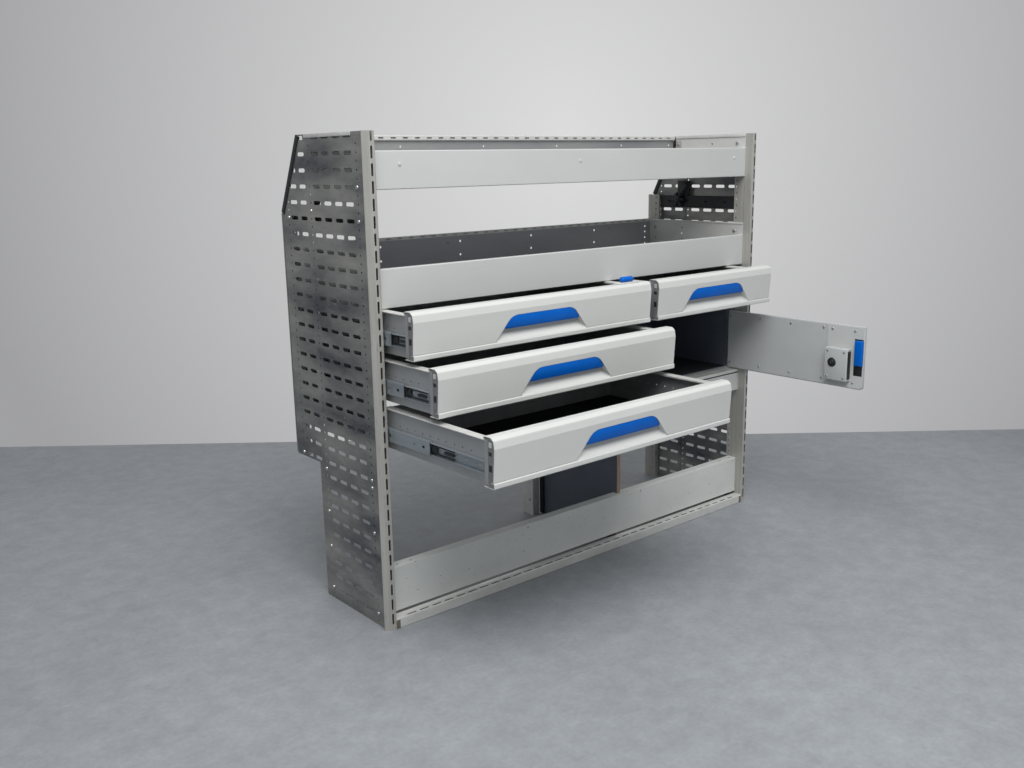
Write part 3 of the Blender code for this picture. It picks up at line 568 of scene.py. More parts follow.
@dataclass
class BentSheet:
    """Sheet metal: a flat pattern with its openings, folded along a path with round bends.

    corners is the path of one face of the sheet in the section plane, and a positive thickness
    lies to the left of it. flat_outline, where given, replaces the flat pattern's rectangle, as
    distances across and along. Each bend gets bend_steps strips, with a crease hold away on each
    side that keeps the sheet next to it flat, and the creases overrun the pattern a little.
    """

    corners: Sequence[Point]
    low: float
    high: float
    along: Along
    thickness: float = SHEET
    inner_radius: float = 0.001
    punches: Sequence[Punch] = ()
    flat_outline: Sequence[Point] = ()
    bend_steps: int = 4
    hold: float = 0.0008
    slot_sides: int = 14
    hole_sides: int = 10
    overrun: float = 0.002
    merge_distance: float = 1e-6
    runs: list[tuple] = field(default_factory=list, init=False)

    def lay_out(self) -> None:
        """Works out each straight run and each bend with its start on the flat pattern."""
        self.runs.clear()
        points = [Vector(corner) for corner in self.corners]
        ways = [(b - a).normalized() for a, b in zip(points, points[1:])]
        lengths = [(b - a).length for a, b in zip(points, points[1:])]
        start = 0.0
        shortfall = 0.0
        for index, way in enumerate(ways):
            bend = None
            next_shortfall = 0.0
            if index + 1 < len(ways):
                turn = way.angle_signed(ways[index + 1]) * -1
                inside = turn * self.thickness > 0
                radius = self.inner_radius + (abs(self.thickness) if inside else 0)
                next_shortfall = radius * tan(abs(turn) / 2)
                bend = (radius, turn)
            straight = lengths[index] - shortfall - next_shortfall
            origin = points[index] + way * shortfall
            self.runs.append((start, straight, origin, way, bend, shortfall))
            start += straight
            if bend:
                start += bend[0] * abs(bend[1])
            shortfall = next_shortfall

    def width(self) -> float:
        """Width of the flat pattern."""
        start, straight = self.runs[-1][:2]
        return start + straight

    def spot(self, run: int, across: float) -> float:
        """Place on the flat pattern of a distance along a run of the path."""
        start, _, _, _, _, shortfall = self.runs[run]
        return start + across - shortfall

    def folded_point(self, spread: float, lift: float) -> Vector:
        """Point of the section for a place on the flat pattern.

        Args:
            spread: Distance across the flat pattern.
            lift: Height above the reference face, towards the left of the path.

        Returns:
            The point in the section plane.
        """
        for start, straight, origin, way, bend, _ in self.runs:
            left = Vector((-way.y, way.x))
            if spread <= start + straight or bend is None:
                return origin + way * (spread - start) + left * lift
            radius, turn = bend
            arc = radius * abs(turn)
            if spread <= start + straight + arc:
                side = 1 if turn > 0 else -1
                foot = origin + way * straight
                centre = foot + left * (side * radius)
                angle = side * (spread - start - straight) / radius
                turned = Matrix.Rotation(angle, 2)
                return centre + turned @ (foot - centre) + (turned @ left) * lift
        raise ValueError("the flat pattern ended before this place")

    def opening_loop(self, punch: Punch) -> list[Point]:
        """Edge of one opening on the flat pattern.

        Args:
            punch: The opening.

        Returns:
            The edge's points.
        """
        middle = Vector((self.spot(punch.run, punch.across), punch.along))
        small, large = sorted((punch.width, punch.length or punch.width))
        sides = self.slot_sides if large > small else self.hole_sides
        axis = 1 if punch.length > punch.width else 0
        loop = []
        for k in range(sides):
            angle = 2 * pi * k / sides + axis * pi / 2
            point = Vector((cos(angle), sin(angle))) * (small / 2)
            point[axis] += (large - small) / 2 * (1 if point[axis] > 0 else -1)
            loop.append(tuple(middle + point))
        return loop

    def pattern(self) -> Shape:
        """The flat pattern as triangles, without its openings and with an edge along each crease.

        Returns:
            The flat shape.
        """
        outline = self.flat_outline or (
            (0.0, self.low), (self.width(), self.low), (self.width(), self.high), (0.0, self.high),
        )
        points, rings = [], []
        for loop in (outline, *(self.opening_loop(punch) for punch in self.punches)):
            doubled = sum(p[0] * q[1] - q[0] * p[1] for p, q in zip(loop, [*loop[1:], loop[0]]))
            rings.append(list(range(len(points), len(points) + len(loop))))
            points += [Vector(point) for point in (loop if doubled > 0 else loop[::-1])]
        low = min(point.y for point in points) - self.overrun
        high = max(point.y for point in points) + self.overrun
        creases = []
        for cut in self.crease_lines():
            creases.append((len(points), len(points) + 1))
            points += [Vector((cut, low)), Vector((cut, high))]
        spots, _, faces, _, _, sources = delaunay_2d_cdt(
            points, creases, rings, 0, self.merge_distance
        )
        shape = bmesh.new()
        verts = [shape.verts.new((*spot, 0)) for spot in spots]
        for face, source in zip(faces, sources):
            if list(source) == [0]:
                shape.faces.new([verts[index] for index in face])
        loose = [vert for vert in verts if not vert.link_faces]
        bmesh.ops.delete(shape, geom=loose, context="VERTS")
        return shape

    def build(self) -> Shape:
        """Cuts the flat pattern, gives it its thickness and folds it.

        Returns:
            The closed shape in world places.
        """
        self.lay_out()
        shape = self.pattern()
        grown = bmesh.ops.extrude_face_region(shape, geom=shape.faces[:])["geom"]
        moved = [item for item in grown if isinstance(item, bmesh.types.BMVert)]
        bmesh.ops.translate(shape, verts=moved, vec=(0, 0, self.thickness))
        for vert in shape.verts:
            section = self.folded_point(vert.co.x, vert.co.z)
            vert.co = self.along.point(section.x, section.y, vert.co.y)
        return shape

    def dress(self, name: str, finish: Finish, node: str = "") -> None:
        """Adds the sheet as a piece of the frame, in place of a node where one is named."""
        add_piece(name, self.build(), finish, stands_for=[node] if node else [])

    def crease_lines(self) -> list[float]:
        """Places across the flat pattern where the bends need an edge.

        Returns:
            The places, bend by bend.
        """
        cuts = []
        for start, straight, _, _, bend, _ in self.runs:
            if bend is None:
                continue
            first = start + straight
            arc = bend[0] * abs(bend[1])
            cuts += [first - self.hold, first + arc + self.hold]
            cuts += [first + arc * step / self.bend_steps for step in range(self.bend_steps + 1)]
        return cuts


class HeadKind(Enum):
    """Kinds of fastener head."""

    RECESSED = "recessed"
    PLAIN = "plain"


@dataclass(frozen=True)
class Head:
    """A screw or bolt head; the shares are of its radius or of its height."""

    radius: float
    height: float
    kind: HeadKind = HeadKind.RECESSED
    sides: int = 16
    top_share: float = 0.86
    edge_share: float = 0.35
    rim_share: float = 0.42
    wall_share: float = 0.03
    recess_share: float = 0.6

    def build(self) -> Shape:
        """The head, standing on the XY plane.

        Returns:
            The shape around its own origin.
        """
        shape = bmesh.new()
        middle = Matrix.Translation((0, 0, self.height / 2))
        bmesh.ops.create_cone(
            shape, cap_ends=True, segments=self.sides, radius1=self.radius,
            radius2=self.radius * self.top_share, depth=self.height, matrix=middle,
        )
        top = max(shape.faces, key=lambda face: face.calc_center_median().z)
        soften(shape, list(top.edges), self.height * self.edge_share)
        top = max(shape.faces, key=lambda face: (face.calc_center_median().z, face.calc_area()))
        if self.kind is HeadKind.RECESSED:
            rim, wall = self.radius * self.rim_share, self.radius * self.wall_share
            bmesh.ops.inset_region(shape, faces=[top], thickness=rim, use_even_offset=True)
            depth = -self.height * self.recess_share
            bmesh.ops.inset_region(shape, faces=[top], thickness=wall, depth=depth)
        return shape


def bolts(
    name: str,
    places: Sequence[Seat],
    head: Head,
    body: str = "frame",
    finish: Finish = BOLT_ZINC,
) -> None:
    """One piece that holds a group of equal fastener heads.

    Args:
        name: Name of the piece.
        places: Seat and outward direction of each head.
        head: The head.
        body: The body that they ride on.
        finish: Their surface.
    """
    matrices = [facing(at, direction) for at, direction in places]
    add_piece(name, repeated(head.build(), matrices), finish, body)


@dataclass
class EndFrame:
    """One end frame: post, slotted panels, rear upright, edge trim, band and bolts."""

    side: Side
    bevel_width: float = 0.0195
    bevel_depth: float = 0.0203
    wall_depth: float = 0.0345
    post_slot_length: float = 0.0355
    post_slot_width: float = 0.007
    post_slot_inset: float = 0.0242
    post_notch_base: float = 1.448
    arc_steps: int = 8
    channel_inset: float = 0.0337
    channel_lip: float = 0.010
    channel_depth: float = 0.084
    channel_base: float = 0.188
    channel_top_drop: float = 0.004
    channel_hole_line: float = 0.012
    slot_length: float = 0.043
    slot_height: float = 0.012
    slot_top_margin: float = 0.009
    first_column: float = 0.1078
    column_pitch: float = 0.0618
    main_columns: int = 4
    rear_first_column: float = 0.3785
    rear_columns: int = 2
    slant_depth: float = 0.397
    slant_height: float = 1.242
    slant_margin: float = 0.006
    least_slot: float = 0.014
    hole_width: float = 0.0068
    front_holes: float = 0.063
    middle_holes: float = 0.3315
    rear_holes: float = 0.477
    hem_front: float = 0.085
    hem_back: float = 0.352
    hem_base: float = 1.4655
    hem_proud: float = 0.0013
    upright_inset: float = 0.0162
    upright_front: float = 0.469
    upright_depth: float = 0.061
    upright_side_line: float = 0.010
    trim_margin: float = 0.002
    trim_wall: float = 0.0024
    trim_cap: float = 0.0045
    trim_cover: float = 0.014
    band_sheet: float = 0.002
    band_first_slot: float = 0.045
    band_end_margin: float = 0.030
    band_slot: Point = (0.006, 0.016)
    clamp_depth: float = 0.365
    clamp_rise: float = 0.032
    clamp_star: float = 0.0215
    clamp_lobes: int = 6
    upright_bolt_heights: Point = (0.4903, 1.1091)
    bolt_places: tuple[Point, ...] = (
        (0.063, 1.3233), (0.063, 1.2281), (0.3315, 1.2519), (0.477, 1.2281), (0.063, 0.4665),
        (0.063, 0.4427), (0.063, 0.2999), (0.3315, 0.0381), (0.063, 0.0381), (0.3315, 0.4427),
        (0.3315, 0.2999), (0.477, 0.4665), (0.3315, 0.1809),
    )

    def node(self, name: str) -> str:
        """Name of this end's node."""
        return self.side.word + "_" + name

    def section(self, *points: Point) -> list[Point]:
        """Insets and depths as world X and Y."""
        return [(self.side.x(inset), FRONT + depth) for inset, depth in points]

    def lefts(self, thickness: float) -> float:
        """Thickness with the sign that keeps it on the same side at both ends."""
        return -self.side.value * thickness

    def build(self) -> None:
        """Builds every piece of the end frame."""
        self.build_post()
        self.build_channel()
        self.build_main_panel()
        self.build_extension()
        self.build_hem()
        self.build_upright()
        self.build_trim()
        self.build_band()
        self.build_bolts()

    def build_post(self) -> None:
        """The folded front post with its bevelled corner and slots, the top one open."""
        corners = self.section(
            (PANEL_INSET - GAP, self.bevel_depth), (0.0, self.bevel_depth), (self.bevel_width, 0.0),
            (POST_WIDTH, 0.0), (POST_WIDTH, self.wall_depth),
        )
        run, across = 2, self.post_slot_inset - self.bevel_width
        heights = rows(BOTTOM_ROW, SLOT_PITCH, 0, HEIGHT - self.post_slot_length / 2)
        punches = [
            Punch(run, across, z, self.post_slot_width, self.post_slot_length) for z in heights
        ]
        sheet = BentSheet(corners, 0, HEIGHT, Along.Z, self.lefts(SHEET), FRAME_BEND, punches)
        sheet.lay_out()
        middle, width, radius = sheet.spot(run, across), sheet.width(), self.post_slot_width / 2
        turns = [pi * k / self.arc_steps for k in range(self.arc_steps + 1)]
        notch = [
            (middle + radius * cos(turn), self.post_notch_base + radius * (1 - sin(turn)))
            for turn in turns
        ]
        sheet.flat_outline = [
            (0.0, 0.0), (width, 0.0), (width, HEIGHT), (middle + radius, HEIGHT), *notch,
            (middle - radius, HEIGHT), (0.0, HEIGHT),
        ]
        sheet.dress(self.node("post"), GALVANISED_POST, self.node("front_post"))

    def build_channel(self) -> None:
        """The holed strip that stands behind the post's inner wall."""
        wall = self.channel_inset + SHEET
        corners = self.section(
            (self.channel_inset - self.channel_lip, self.channel_depth),
            (wall, self.channel_depth), (wall, self.wall_depth + SHEET),
        )
        base, top = self.channel_base, HEIGHT - self.channel_top_drop
        heights = rows(BOTTOM_ROW, HOLE_PITCH, base + END_MARGIN, HEIGHT - 2 * END_MARGIN)
        punches = [Punch(1, self.channel_hole_line, z, SMALL_HOLE) for z in heights]
        sheet = BentSheet(corners, base, top, Along.Z, self.lefts(-SHEET), FRAME_BEND, punches)
        sheet.dress(self.node("post_channel"), GALVANISED_POST)

    def slant_limit(self, height: float) -> float:
        """Depth of the slanted rear edge at a height."""
        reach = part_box(self.node("panel_extension"))[1].y - FRONT - self.slant_depth
        return self.slant_depth + reach * (HEIGHT - height) / (HEIGHT - self.slant_height)

    def slot_rows(self, base: float) -> list[float]:
        """Heights of the slot rows above a lower edge."""
        return rows(BOTTOM_ROW, SLOT_PITCH, base + self.slot_height, HEIGHT - self.slot_top_margin)

    def small_holes(self) -> list[float]:
        """Heights of the small round holes of the panels."""
        return rows(BOTTOM_ROW - HOLE_PITCH, HOLE_PITCH, END_MARGIN, HEIGHT - END_MARGIN)

    def rear_slots(self, base: float) -> list[tuple[float, float, float]]:
        """The extension's slots, shortened where the slant cuts them.

        Args:
            base: Height of the extension's lower edge.

        Returns:
            Depth, height and length of each slot.
        """
        found = []
        for column in range(self.rear_columns):
            start = self.rear_first_column + column * self.column_pitch - self.slot_length / 2
            for z in self.slot_rows(base):
                limit = self.slant_limit(z + self.slot_height / 2) - self.slant_margin
                length = min(self.slot_length, limit - start)
                if length > self.least_slot:
                    found.append((start + length / 2, z, length))
        return found

    def panel(
        self,
        outline: Sequence[Point],
        inset: float,
        slots: Sequence[Sequence[float]],
        holes: Sequence[Point],
    ) -> Shape:
        """A slotted panel square to X.

        Args:
            outline: Its corners as depth and height.
            inset: Inset of its outer face.
            slots: Depth, height and length of each slot.
            holes: Depth and height of each round hole.

        Returns:
            Its closed shape.
        """
        punches = [Punch(0, depth, z, length, self.slot_height) for depth, z, length in slots]
        punches += [Punch(0, depth, z, self.hole_width) for depth, z in holes]
        flat_path = ((0, 0), (1, 0))
        shape = BentSheet(flat_path, 0, 1, Along.Z, punches=punches, flat_outline=outline).build()
        outer = self.side.x(inset)
        for vert in shape.verts:
            spread, lift, height = vert.co
            vert.co = Vector((outer - self.side.value * lift, FRONT + spread, height))
        return shape

    def build_main_panel(self) -> None:
        """The main side panel, notched over the extension's first slots."""
        near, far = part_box(self.node("side_panel"))
        front, back = near.y - FRONT, far.y - FRONT
        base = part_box(self.node("panel_extension"))[0].z
        lapped = [slot for slot in self.rear_slots(base) if slot[0] - slot[2] / 2 < back]
        outline = [(front, 0), *self.notched_edge(lapped, back), (front, HEIGHT)]
        depths = [self.first_column + k * self.column_pitch for k in range(self.main_columns)]
        slots = [(depth, z, self.slot_length) for depth in depths for z in self.slot_rows(0)]
        lines = (self.front_holes, self.middle_holes)
        holes = [(depth, z) for depth in lines for z in self.small_holes()]
        shape = self.panel(outline, PANEL_INSET, slots, holes)
        node = self.node("side_panel")
        add_piece(self.node("panel"), shape, GALVANISED_PANEL, stands_for=[node])

    def build_extension(self) -> None:
        """The panel extension behind the main panel, with its slanted corner."""
        node = self.node("panel_extension")
        near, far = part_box(node)
        base, start, rear = near.z, near.y - FRONT, far.y - FRONT
        outline = (
            (start, base), (rear, base), (rear, self.slant_height), (self.slant_depth, HEIGHT),
            (start, HEIGHT),
        )
        holes = [
            (self.rear_holes, z)
            for z in self.small_holes()
            if base + END_MARGIN < z and self.rear_holes + 2 * END_MARGIN < self.slant_limit(z)
        ]
        inset = PANEL_INSET + SHEET + GAP
        shape = self.panel(outline, inset, self.rear_slots(base), holes)
        add_piece(self.node("extension"), shape, GALVANISED_PANEL, stands_for=[node])

    def notched_edge(self, slots: Sequence[Sequence[float]], back: float) -> list[Point]:
        """Rear edge of the main panel, open over the extension's first slots.

        Args:
            slots: Depth, height and length of the slots that reach over it, lowest first.
            back: Depth of the rear edge.

        Returns:
            The edge's points as depth and height, from the floor to the top.
        """
        half = self.slot_height / 2
        edge = [(back, 0.0)]
        for depth, z, length in slots:
            centre = depth - length / 2 + half
            edge.append((back, z - half))
            for step in range(self.arc_steps + 1):
                angle = -pi / 2 - pi * step / self.arc_steps
                edge.append((centre + half * cos(angle), z + half * sin(angle)))
            edge.append((back, z + half))
        edge.append((back, HEIGHT))
        return edge

    def build_hem(self) -> None:
        """The light folded hem along the top of the side panel."""
        outer, inner = self.side.x(PANEL_INSET - self.hem_proud), self.side.x(PANEL_INSET - GAP)
        near = (outer, FRONT + self.hem_front, self.hem_base)
        far = (inner, FRONT + self.hem_back, HEIGHT - GAP)
        add_piece(self.node("panel_hem"), rounded_block(near, far, 0.0004), PAINTED_HIGHLIGHT_STRIP)

    def build_upright(self) -> None:
        """The rear upright with its lines of holes."""
        node = self.node("rear_upright")
        base, top = (corner.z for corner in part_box(node))
        back = self.upright_front + self.upright_depth
        corners = self.section(
            (self.upright_inset, self.upright_front), (POST_WIDTH, self.upright_front),
            (POST_WIDTH, back), (self.upright_inset, back),
        )
        heights = rows(BOTTOM_ROW, HOLE_PITCH, base + 2 * END_MARGIN, top - END_MARGIN)
        across = UPRIGHT_HOLES - self.upright_front
        punches = [Punch(1, across, z, HOLE) for z in heights]
        punches += [Punch(0, self.upright_side_line, z, SMALL_HOLE) for z in heights]
        sheet = BentSheet(corners, base, top, Along.Z, self.lefts(SHEET), FRAME_BEND, punches)
        sheet.dress(self.node("upright"), GALVANISED_POST, node)

    def build_trim(self) -> None:
        """The black channel that grips the slanted edge."""
        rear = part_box(self.node("panel_extension"))[1].y
        top = Vector((FRONT + self.slant_depth, HEIGHT))
        foot = Vector((rear, self.slant_height))
        way = (foot - top).normalized()
        start = top + way * self.trim_margin
        end = foot - way * self.trim_margin / 2
        outward = Vector((-way.y, way.x))
        centre = self.side.x(PANEL_INSET + SHEET + GAP + SHEET / 2)
        half = SHEET / 2 + GAP
        wide, cap, cover = half + self.trim_wall, self.trim_cap, self.trim_cover
        profile = [
            (-wide, -cover), (-wide, cap), (wide, cap), (wide, -cover),
            (half, -cover), (half, GAP), (-half, GAP), (-half, -cover),
        ]
        shape = pushed(profile, 0, (end - start).length, Along.Z)
        lengthwise = [edge for edge in shape.edges if edge.verts[0].co.xy == edge.verts[1].co.xy]
        soften(shape, lengthwise, 0.0008)
        for vert in shape.verts:
            side, lift, level = vert.co
            spot = start + way * level + outward * lift
            vert.co = Vector((centre + side, spot.x, spot.y))
        add_piece(self.node("trim"), shape, BLACK_PLASTIC, stands_for=[self.node("edge_trim")])

    def build_band(self) -> None:
        """The black channel inside the panel, with its slots and its clamp."""
        node = self.node("side_band")
        low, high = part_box(node)
        inner, outer = (low.x, high.x) if self.side is Side.RIGHT else (high.x, low.x)
        corners = ((outer, low.z), (inner, low.z), (inner, high.z), (outer, high.z))
        first, last = low.y + self.band_first_slot, high.y - self.band_end_margin
        middle = (high.z - low.z) / 2
        slots = rows(first, 2 * SLOT_PITCH, low.y, last)
        punches = [Punch(1, middle, y, *self.band_slot) for y in slots]
        sheet = BentSheet(
            corners, low.y, high.y, Along.Y, self.lefts(self.band_sheet), punches=punches
        )
        sheet.dress(self.node("band"), BLACK_PLASTIC, node)
        way = Vector((-self.side.value, 0, 0))
        knob = Vector((inner, FRONT + self.clamp_depth, low.z + self.clamp_rise))
        self.build_clamp(knob + way * GAP, way)

    def build_clamp(self, seat: Vector, way: Vector) -> None:
        """The star-shaped clamp knob, its arm and the plate behind them.

        Args:
            seat: Middle of the knob's foot.
            way: Direction into the racking.
        """
        lobes = []
        for k in range(self.clamp_lobes):
            turn = 2 * pi * k / self.clamp_lobes
            spot = seat + Vector((0, cos(turn), sin(turn))) * self.clamp_star
            lobes.append(facing(spot, way))
        arm = [seat + Vector((0, -0.010 - 0.009 * k, 0.022 + 0.011 * k)) for k in range(4)]
        near = seat + Vector((0, -0.052, 0.016))
        far = seat + way * 0.004 + Vector((0, 0.010, 0.075))
        pieces = [
            repeated(Head(0.0098, 0.016, HeadKind.PLAIN).build(), lobes),
            repeated(Head(0.0195, 0.020).build(), [facing(seat, way)]),
            repeated(Head(0.012, 0.012, HeadKind.PLAIN).build(), [facing(at, way) for at in arm]),
            rounded_block(near, far, 0.0015),
        ]
        add_piece(self.node("clamp_knob"), joined(pieces), BLACK_PLASTIC)

    def build_bolts(self) -> None:
        """The bolt heads on both faces of the panels and on the upright."""
        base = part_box(self.node("panel_extension"))[0].z
        out = Vector((self.side.value, 0, 0))
        heads, nuts = [], []
        for depth, z in self.bolt_places:
            rear = depth > self.middle_holes
            if rear and z < base:
                continue
            inset = PANEL_INSET + (SHEET + GAP if rear else 0)
            heads.append((Vector((self.side.x(inset), FRONT + depth, z)), out))
            if depth < self.middle_holes:
                nuts.append((Vector((self.side.x(inset + SHEET), FRONT + depth, z)), -out))
        bolts(self.node("panel_bolts"), heads, Head(0.0062, 0.0035))
        bolts(self.node("panel_nuts"), nuts, Head(0.0055, 0.003, HeadKind.PLAIN))
        wall = self.side.x(POST_WIDTH)
        face = [
            (Vector((wall, FRONT + UPRIGHT_HOLES, z)), -out) for z in self.upright_bolt_heights
        ]
        bolts(self.node("upright_bolts"), face, Head(0.006, 0.0032))


@dataclass
class BottomRun:
    """The slotted bottom rail with its plugs, and the fascia above it."""

    rail_sheet: float = 0.002
    slot_depth: float = 0.009
    slot_width: float = 0.0075
    slot_length: float = 0.0355
    slot_count: int = 34
    shade_depths: Point = (0.0035, 0.0145)
    shade_thickness: float = 0.001
    plug_length: float = 0.013
    fascia_lip: float = 0.010
    flange_hole_line: float = 0.015
    flange_hole: Point = (0.007, 0.010)
    flange_hole_spans: tuple[float, ...] = (0.077, 0.128, 1.649, 1.707)
    screw_spans: tuple[float, ...] = (0.052, 0.6, 1.16, 1.715)
    screw_drop: float = 0.012

    def build(self) -> None:
        """Builds the rail, its plugs and the fascia."""
        self.build_rail()
        self.build_plugs()
        self.build_fascia()

    def build_rail(self) -> None:
        """The rail with its slots, and a thin black sheet under them as painted shade of the
        hollow.
        """
        low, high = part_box("bottom_rail")
        corners = ((high.y, high.z), (low.y, high.z), (low.y, low.z), (high.y, low.z))
        across = high.y - low.y - self.slot_depth
        first = -(self.slot_count - 1) / 2 * SLOT_PITCH
        punches = [
            Punch(0, across, first + k * SLOT_PITCH, self.slot_width, self.slot_length)
            for k in range(self.slot_count)
        ]
        sheet = BentSheet(corners, low.x, high.x, Along.X, self.rail_sheet, FRAME_BEND, punches)
        sheet.dress("rail", PAINTED_HIGHLIGHT_STRIP, "bottom_rail")
        # A thin black sheet under the slots: painted shade inside the rail's hollow.
        under = high.z - self.rail_sheet - GAP
        start, end = (low.y + depth for depth in self.shade_depths)
        near = (low.x + self.plug_length, start, under - self.shade_thickness)
        far = (high.x - self.plug_length, end, under)
        add_piece("rail_hollow_shade", rounded_block(near, far, 0.0003), BLACK_PLASTIC)

    def build_plugs(self) -> None:
        """The plugs in the rail's ends, each with a thin face over the rail's front."""
        low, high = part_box("bottom_rail")
        inset = self.rail_sheet + GAP
        plugs = []
        for start in (low.x, high.x - self.plug_length):
            end = start + self.plug_length
            near, far = (start, low.y + inset, low.z + inset), (end, high.y, high.z - inset)
            plugs.append(rounded_block(near, far, 0.0008))
            near = (start, low.y - 0.0002, low.z + 0.0015)
            far = (end, low.y + 0.0006, high.z - 0.004)
            plugs.append(rounded_block(near, far, 0.0002))
        add_piece("rail_plugs", joined(plugs), RAIL_PLUG)

    def build_fascia(self) -> None:
        """The lowest fascia with its top flange, the flange's end holes and its screws."""
        low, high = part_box("bottom_fascia")
        corners = (
            (low.y, low.z), (low.y, high.z), (high.y, high.z), (high.y, high.z - self.fascia_lip),
        )
        punches = [
            Punch(1, self.flange_hole_line, span - HALF, *self.flange_hole)
            for span in self.flange_hole_spans
        ]
        sheet = BentSheet(corners, low.x, high.x, Along.X, -SHEET, punches=punches)
        sheet.dress("lower_fascia", SCUFFED_ENAMEL_PAINTED_LIGHT, "bottom_fascia")
        z = high.z - self.screw_drop
        screws = [(Vector((span - HALF, low.y, z)), FORWARD) for span in self.screw_spans]
        bolts("fascia_screws", screws, Head(0.0032, 0.0012), finish=GALVANISED_SHELF)


@dataclass
class Tiers:
    """The two open tiers: fascias, shelf pans, side plates and the rear panel."""

    fascia_lip: float = 0.009
    dimple_spans: tuple[float, ...] = (0.138, 0.851, 1.662)
    dimple_height: float = 1.385
    pan_front_gap: float = 0.0018
    pan_back: float = 0.397
    rail_hole_spans: tuple[float, ...] = (0.387, 0.733, 1.079, 1.422, 1.70)
    rail_hole_height: float = 1.440
    rail_step: float = 0.013
    rail_overhang: float = 0.009
    rail_lip: float = 0.011
    rail_slot_line: float = 0.0062
    rail_slot_width: float = 0.0045
    first_slot: float = 0.030
    last_slot_margin: float = 0.020
    strip_slot_length: float = 0.021
    strip_slot_width: float = 0.005
    rear_drop: float = 0.0032
    rear_setback: float = 0.0025
    rear_hole: float = 0.0085
    rear_hole_spans: tuple[float, ...] = (0.370, 0.711, 1.053, 1.393)
    rear_hole_heights: Point = (1.109, 1.061)
    end_hole: float = 0.008
    end_hole_span: float = 1.696
    end_hole_heights: tuple[float, ...] = (1.039, 1.0628, 1.0866, 1.109)
    strip_height: float = 0.0115
    strip_proud: float = 0.0018
    strip_bend: float = 0.0006
    plate_inset: float = 0.037
    flange_inset: float = 0.0162
    roll_inset: float = 0.0285
    roll_height: float = 0.006
    roll_bend: float = 0.0008
    roll_proud: float = 0.0022
    hem_proud: float = 0.0035
    hem_height: float = 0.0105
    bracket_proud: float = 0.0016
    bracket_margins: Point = (0.030, 0.002)
    bracket_heights: Point = (1.424, 1.459)
    top_plate_holes: tuple[Point, ...] = ((0.196, 1.440), (0.345, 1.40), (0.13, 1.40))
    second_plate_holes: tuple[Point, ...] = (
        (0.341, 1.108), (0.341, 1.084), (0.341, 1.062), (0.487, 1.062), (0.075, 1.062),
    )
    bolt_places: tuple[Point, ...] = (
        (0.365, 1.441), (0.073, 1.441), (0.487, 1.104), (0.075, 1.106),
    )

    def build(self) -> None:
        """Builds both tiers."""
        self.build_fascia("top_fascia", "upper_fascia")
        self.build_fascia("second_fascia", "middle_fascia")
        self.build_dimples()
        self.build_top_pan()
        self.build_second_pan()
        self.build_rear_panel()
        for side in Side:
            self.build_top_side(side)
            self.build_second_side(side)
        self.build_bolts()

    def build_fascia(self, node: str, name: str) -> None:
        """A fascia folded back along its top and bottom.

        Args:
            node: The frame's node that it stands for.
            name: Name of the piece.
        """
        low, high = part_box(node)
        corners = (
            (high.y, low.z + self.fascia_lip), (high.y, low.z), (low.y, low.z), (low.y, high.z),
            (high.y, high.z), (high.y, high.z - self.fascia_lip),
        )
        sheet = BentSheet(corners, low.x, high.x, Along.X, -SHEET, FRAME_BEND)
        sheet.dress(name, LIGHT_ENAMEL, node)

    def build_dimples(self) -> None:
        """Small pressed dimples on the upper fascia."""
        y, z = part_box("top_fascia")[0].y, self.dimple_height
        places = [(Vector((span - HALF, y, z)), FORWARD) for span in self.dimple_spans]
        head = Head(0.0055, 0.0022, HeadKind.PLAIN)
        bolts("fascia_dimples", places, head, finish=LIGHT_ENAMEL)

    def strip_slots(
        self, low: Vector, high: Vector, run: int, across: float, width: float
    ) -> list[Punch]:
        """A line of slots along X.

        Args:
            low: Lowest corner of the sheet's node.
            high: Highest corner of the sheet's node.
            run: Run of the section that holds the slots.
            across: Their place on it.
            width: Their width.

        Returns:
            The slots.
        """
        first, last = low.x + self.first_slot, high.x - self.last_slot_margin
        places = rows(first, SLOT_PITCH, low.x, last)
        return [Punch(run, across, x, width, self.strip_slot_length) for x in places]

    def build_top_pan(self) -> None:
        """The top tier's floor and its stepped, slotted rear rail."""
        low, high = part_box("top_shelf_pan")
        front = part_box("top_side_left")[0].y + self.pan_front_gap
        rear = FRONT + self.pan_back
        brim = high.z
        step = brim - self.rail_step
        corners = ((front, low.z), (rear, low.z), (rear, step - SHEET - GAP))
        up = self.rail_hole_height - low.z
        punches = [Punch(1, up, span - HALF, self.end_hole) for span in self.rail_hole_spans]
        sheet = BentSheet(corners, low.x, high.x, Along.X, punches=punches)
        sheet.dress("top_pan", GALVANISED_SHELF, "top_shelf_pan")
        edge = rear - self.rail_overhang
        corners = (
            (rear, step), (edge, step), (edge, brim), (high.y, brim),
            (high.y, brim - self.rail_lip),
        )
        punches = self.strip_slots(low, high, 1, self.rail_slot_line, self.rail_slot_width)
        sheet = BentSheet(corners, low.x, high.x, Along.X, punches=punches)
        sheet.dress("top_rail_strip", PAINTED_HIGHLIGHT_STRIP)

    def build_second_pan(self) -> None:
        """The second tier's floor."""
        low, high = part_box("second_shelf_pan")
        corners = ((low.y, low.z), (high.y, low.z), (high.y, high.z))
        sheet = BentSheet(corners, low.x, high.x, Along.X)
        sheet.dress("second_pan", GALVANISED_SHELF, "second_shelf_pan")

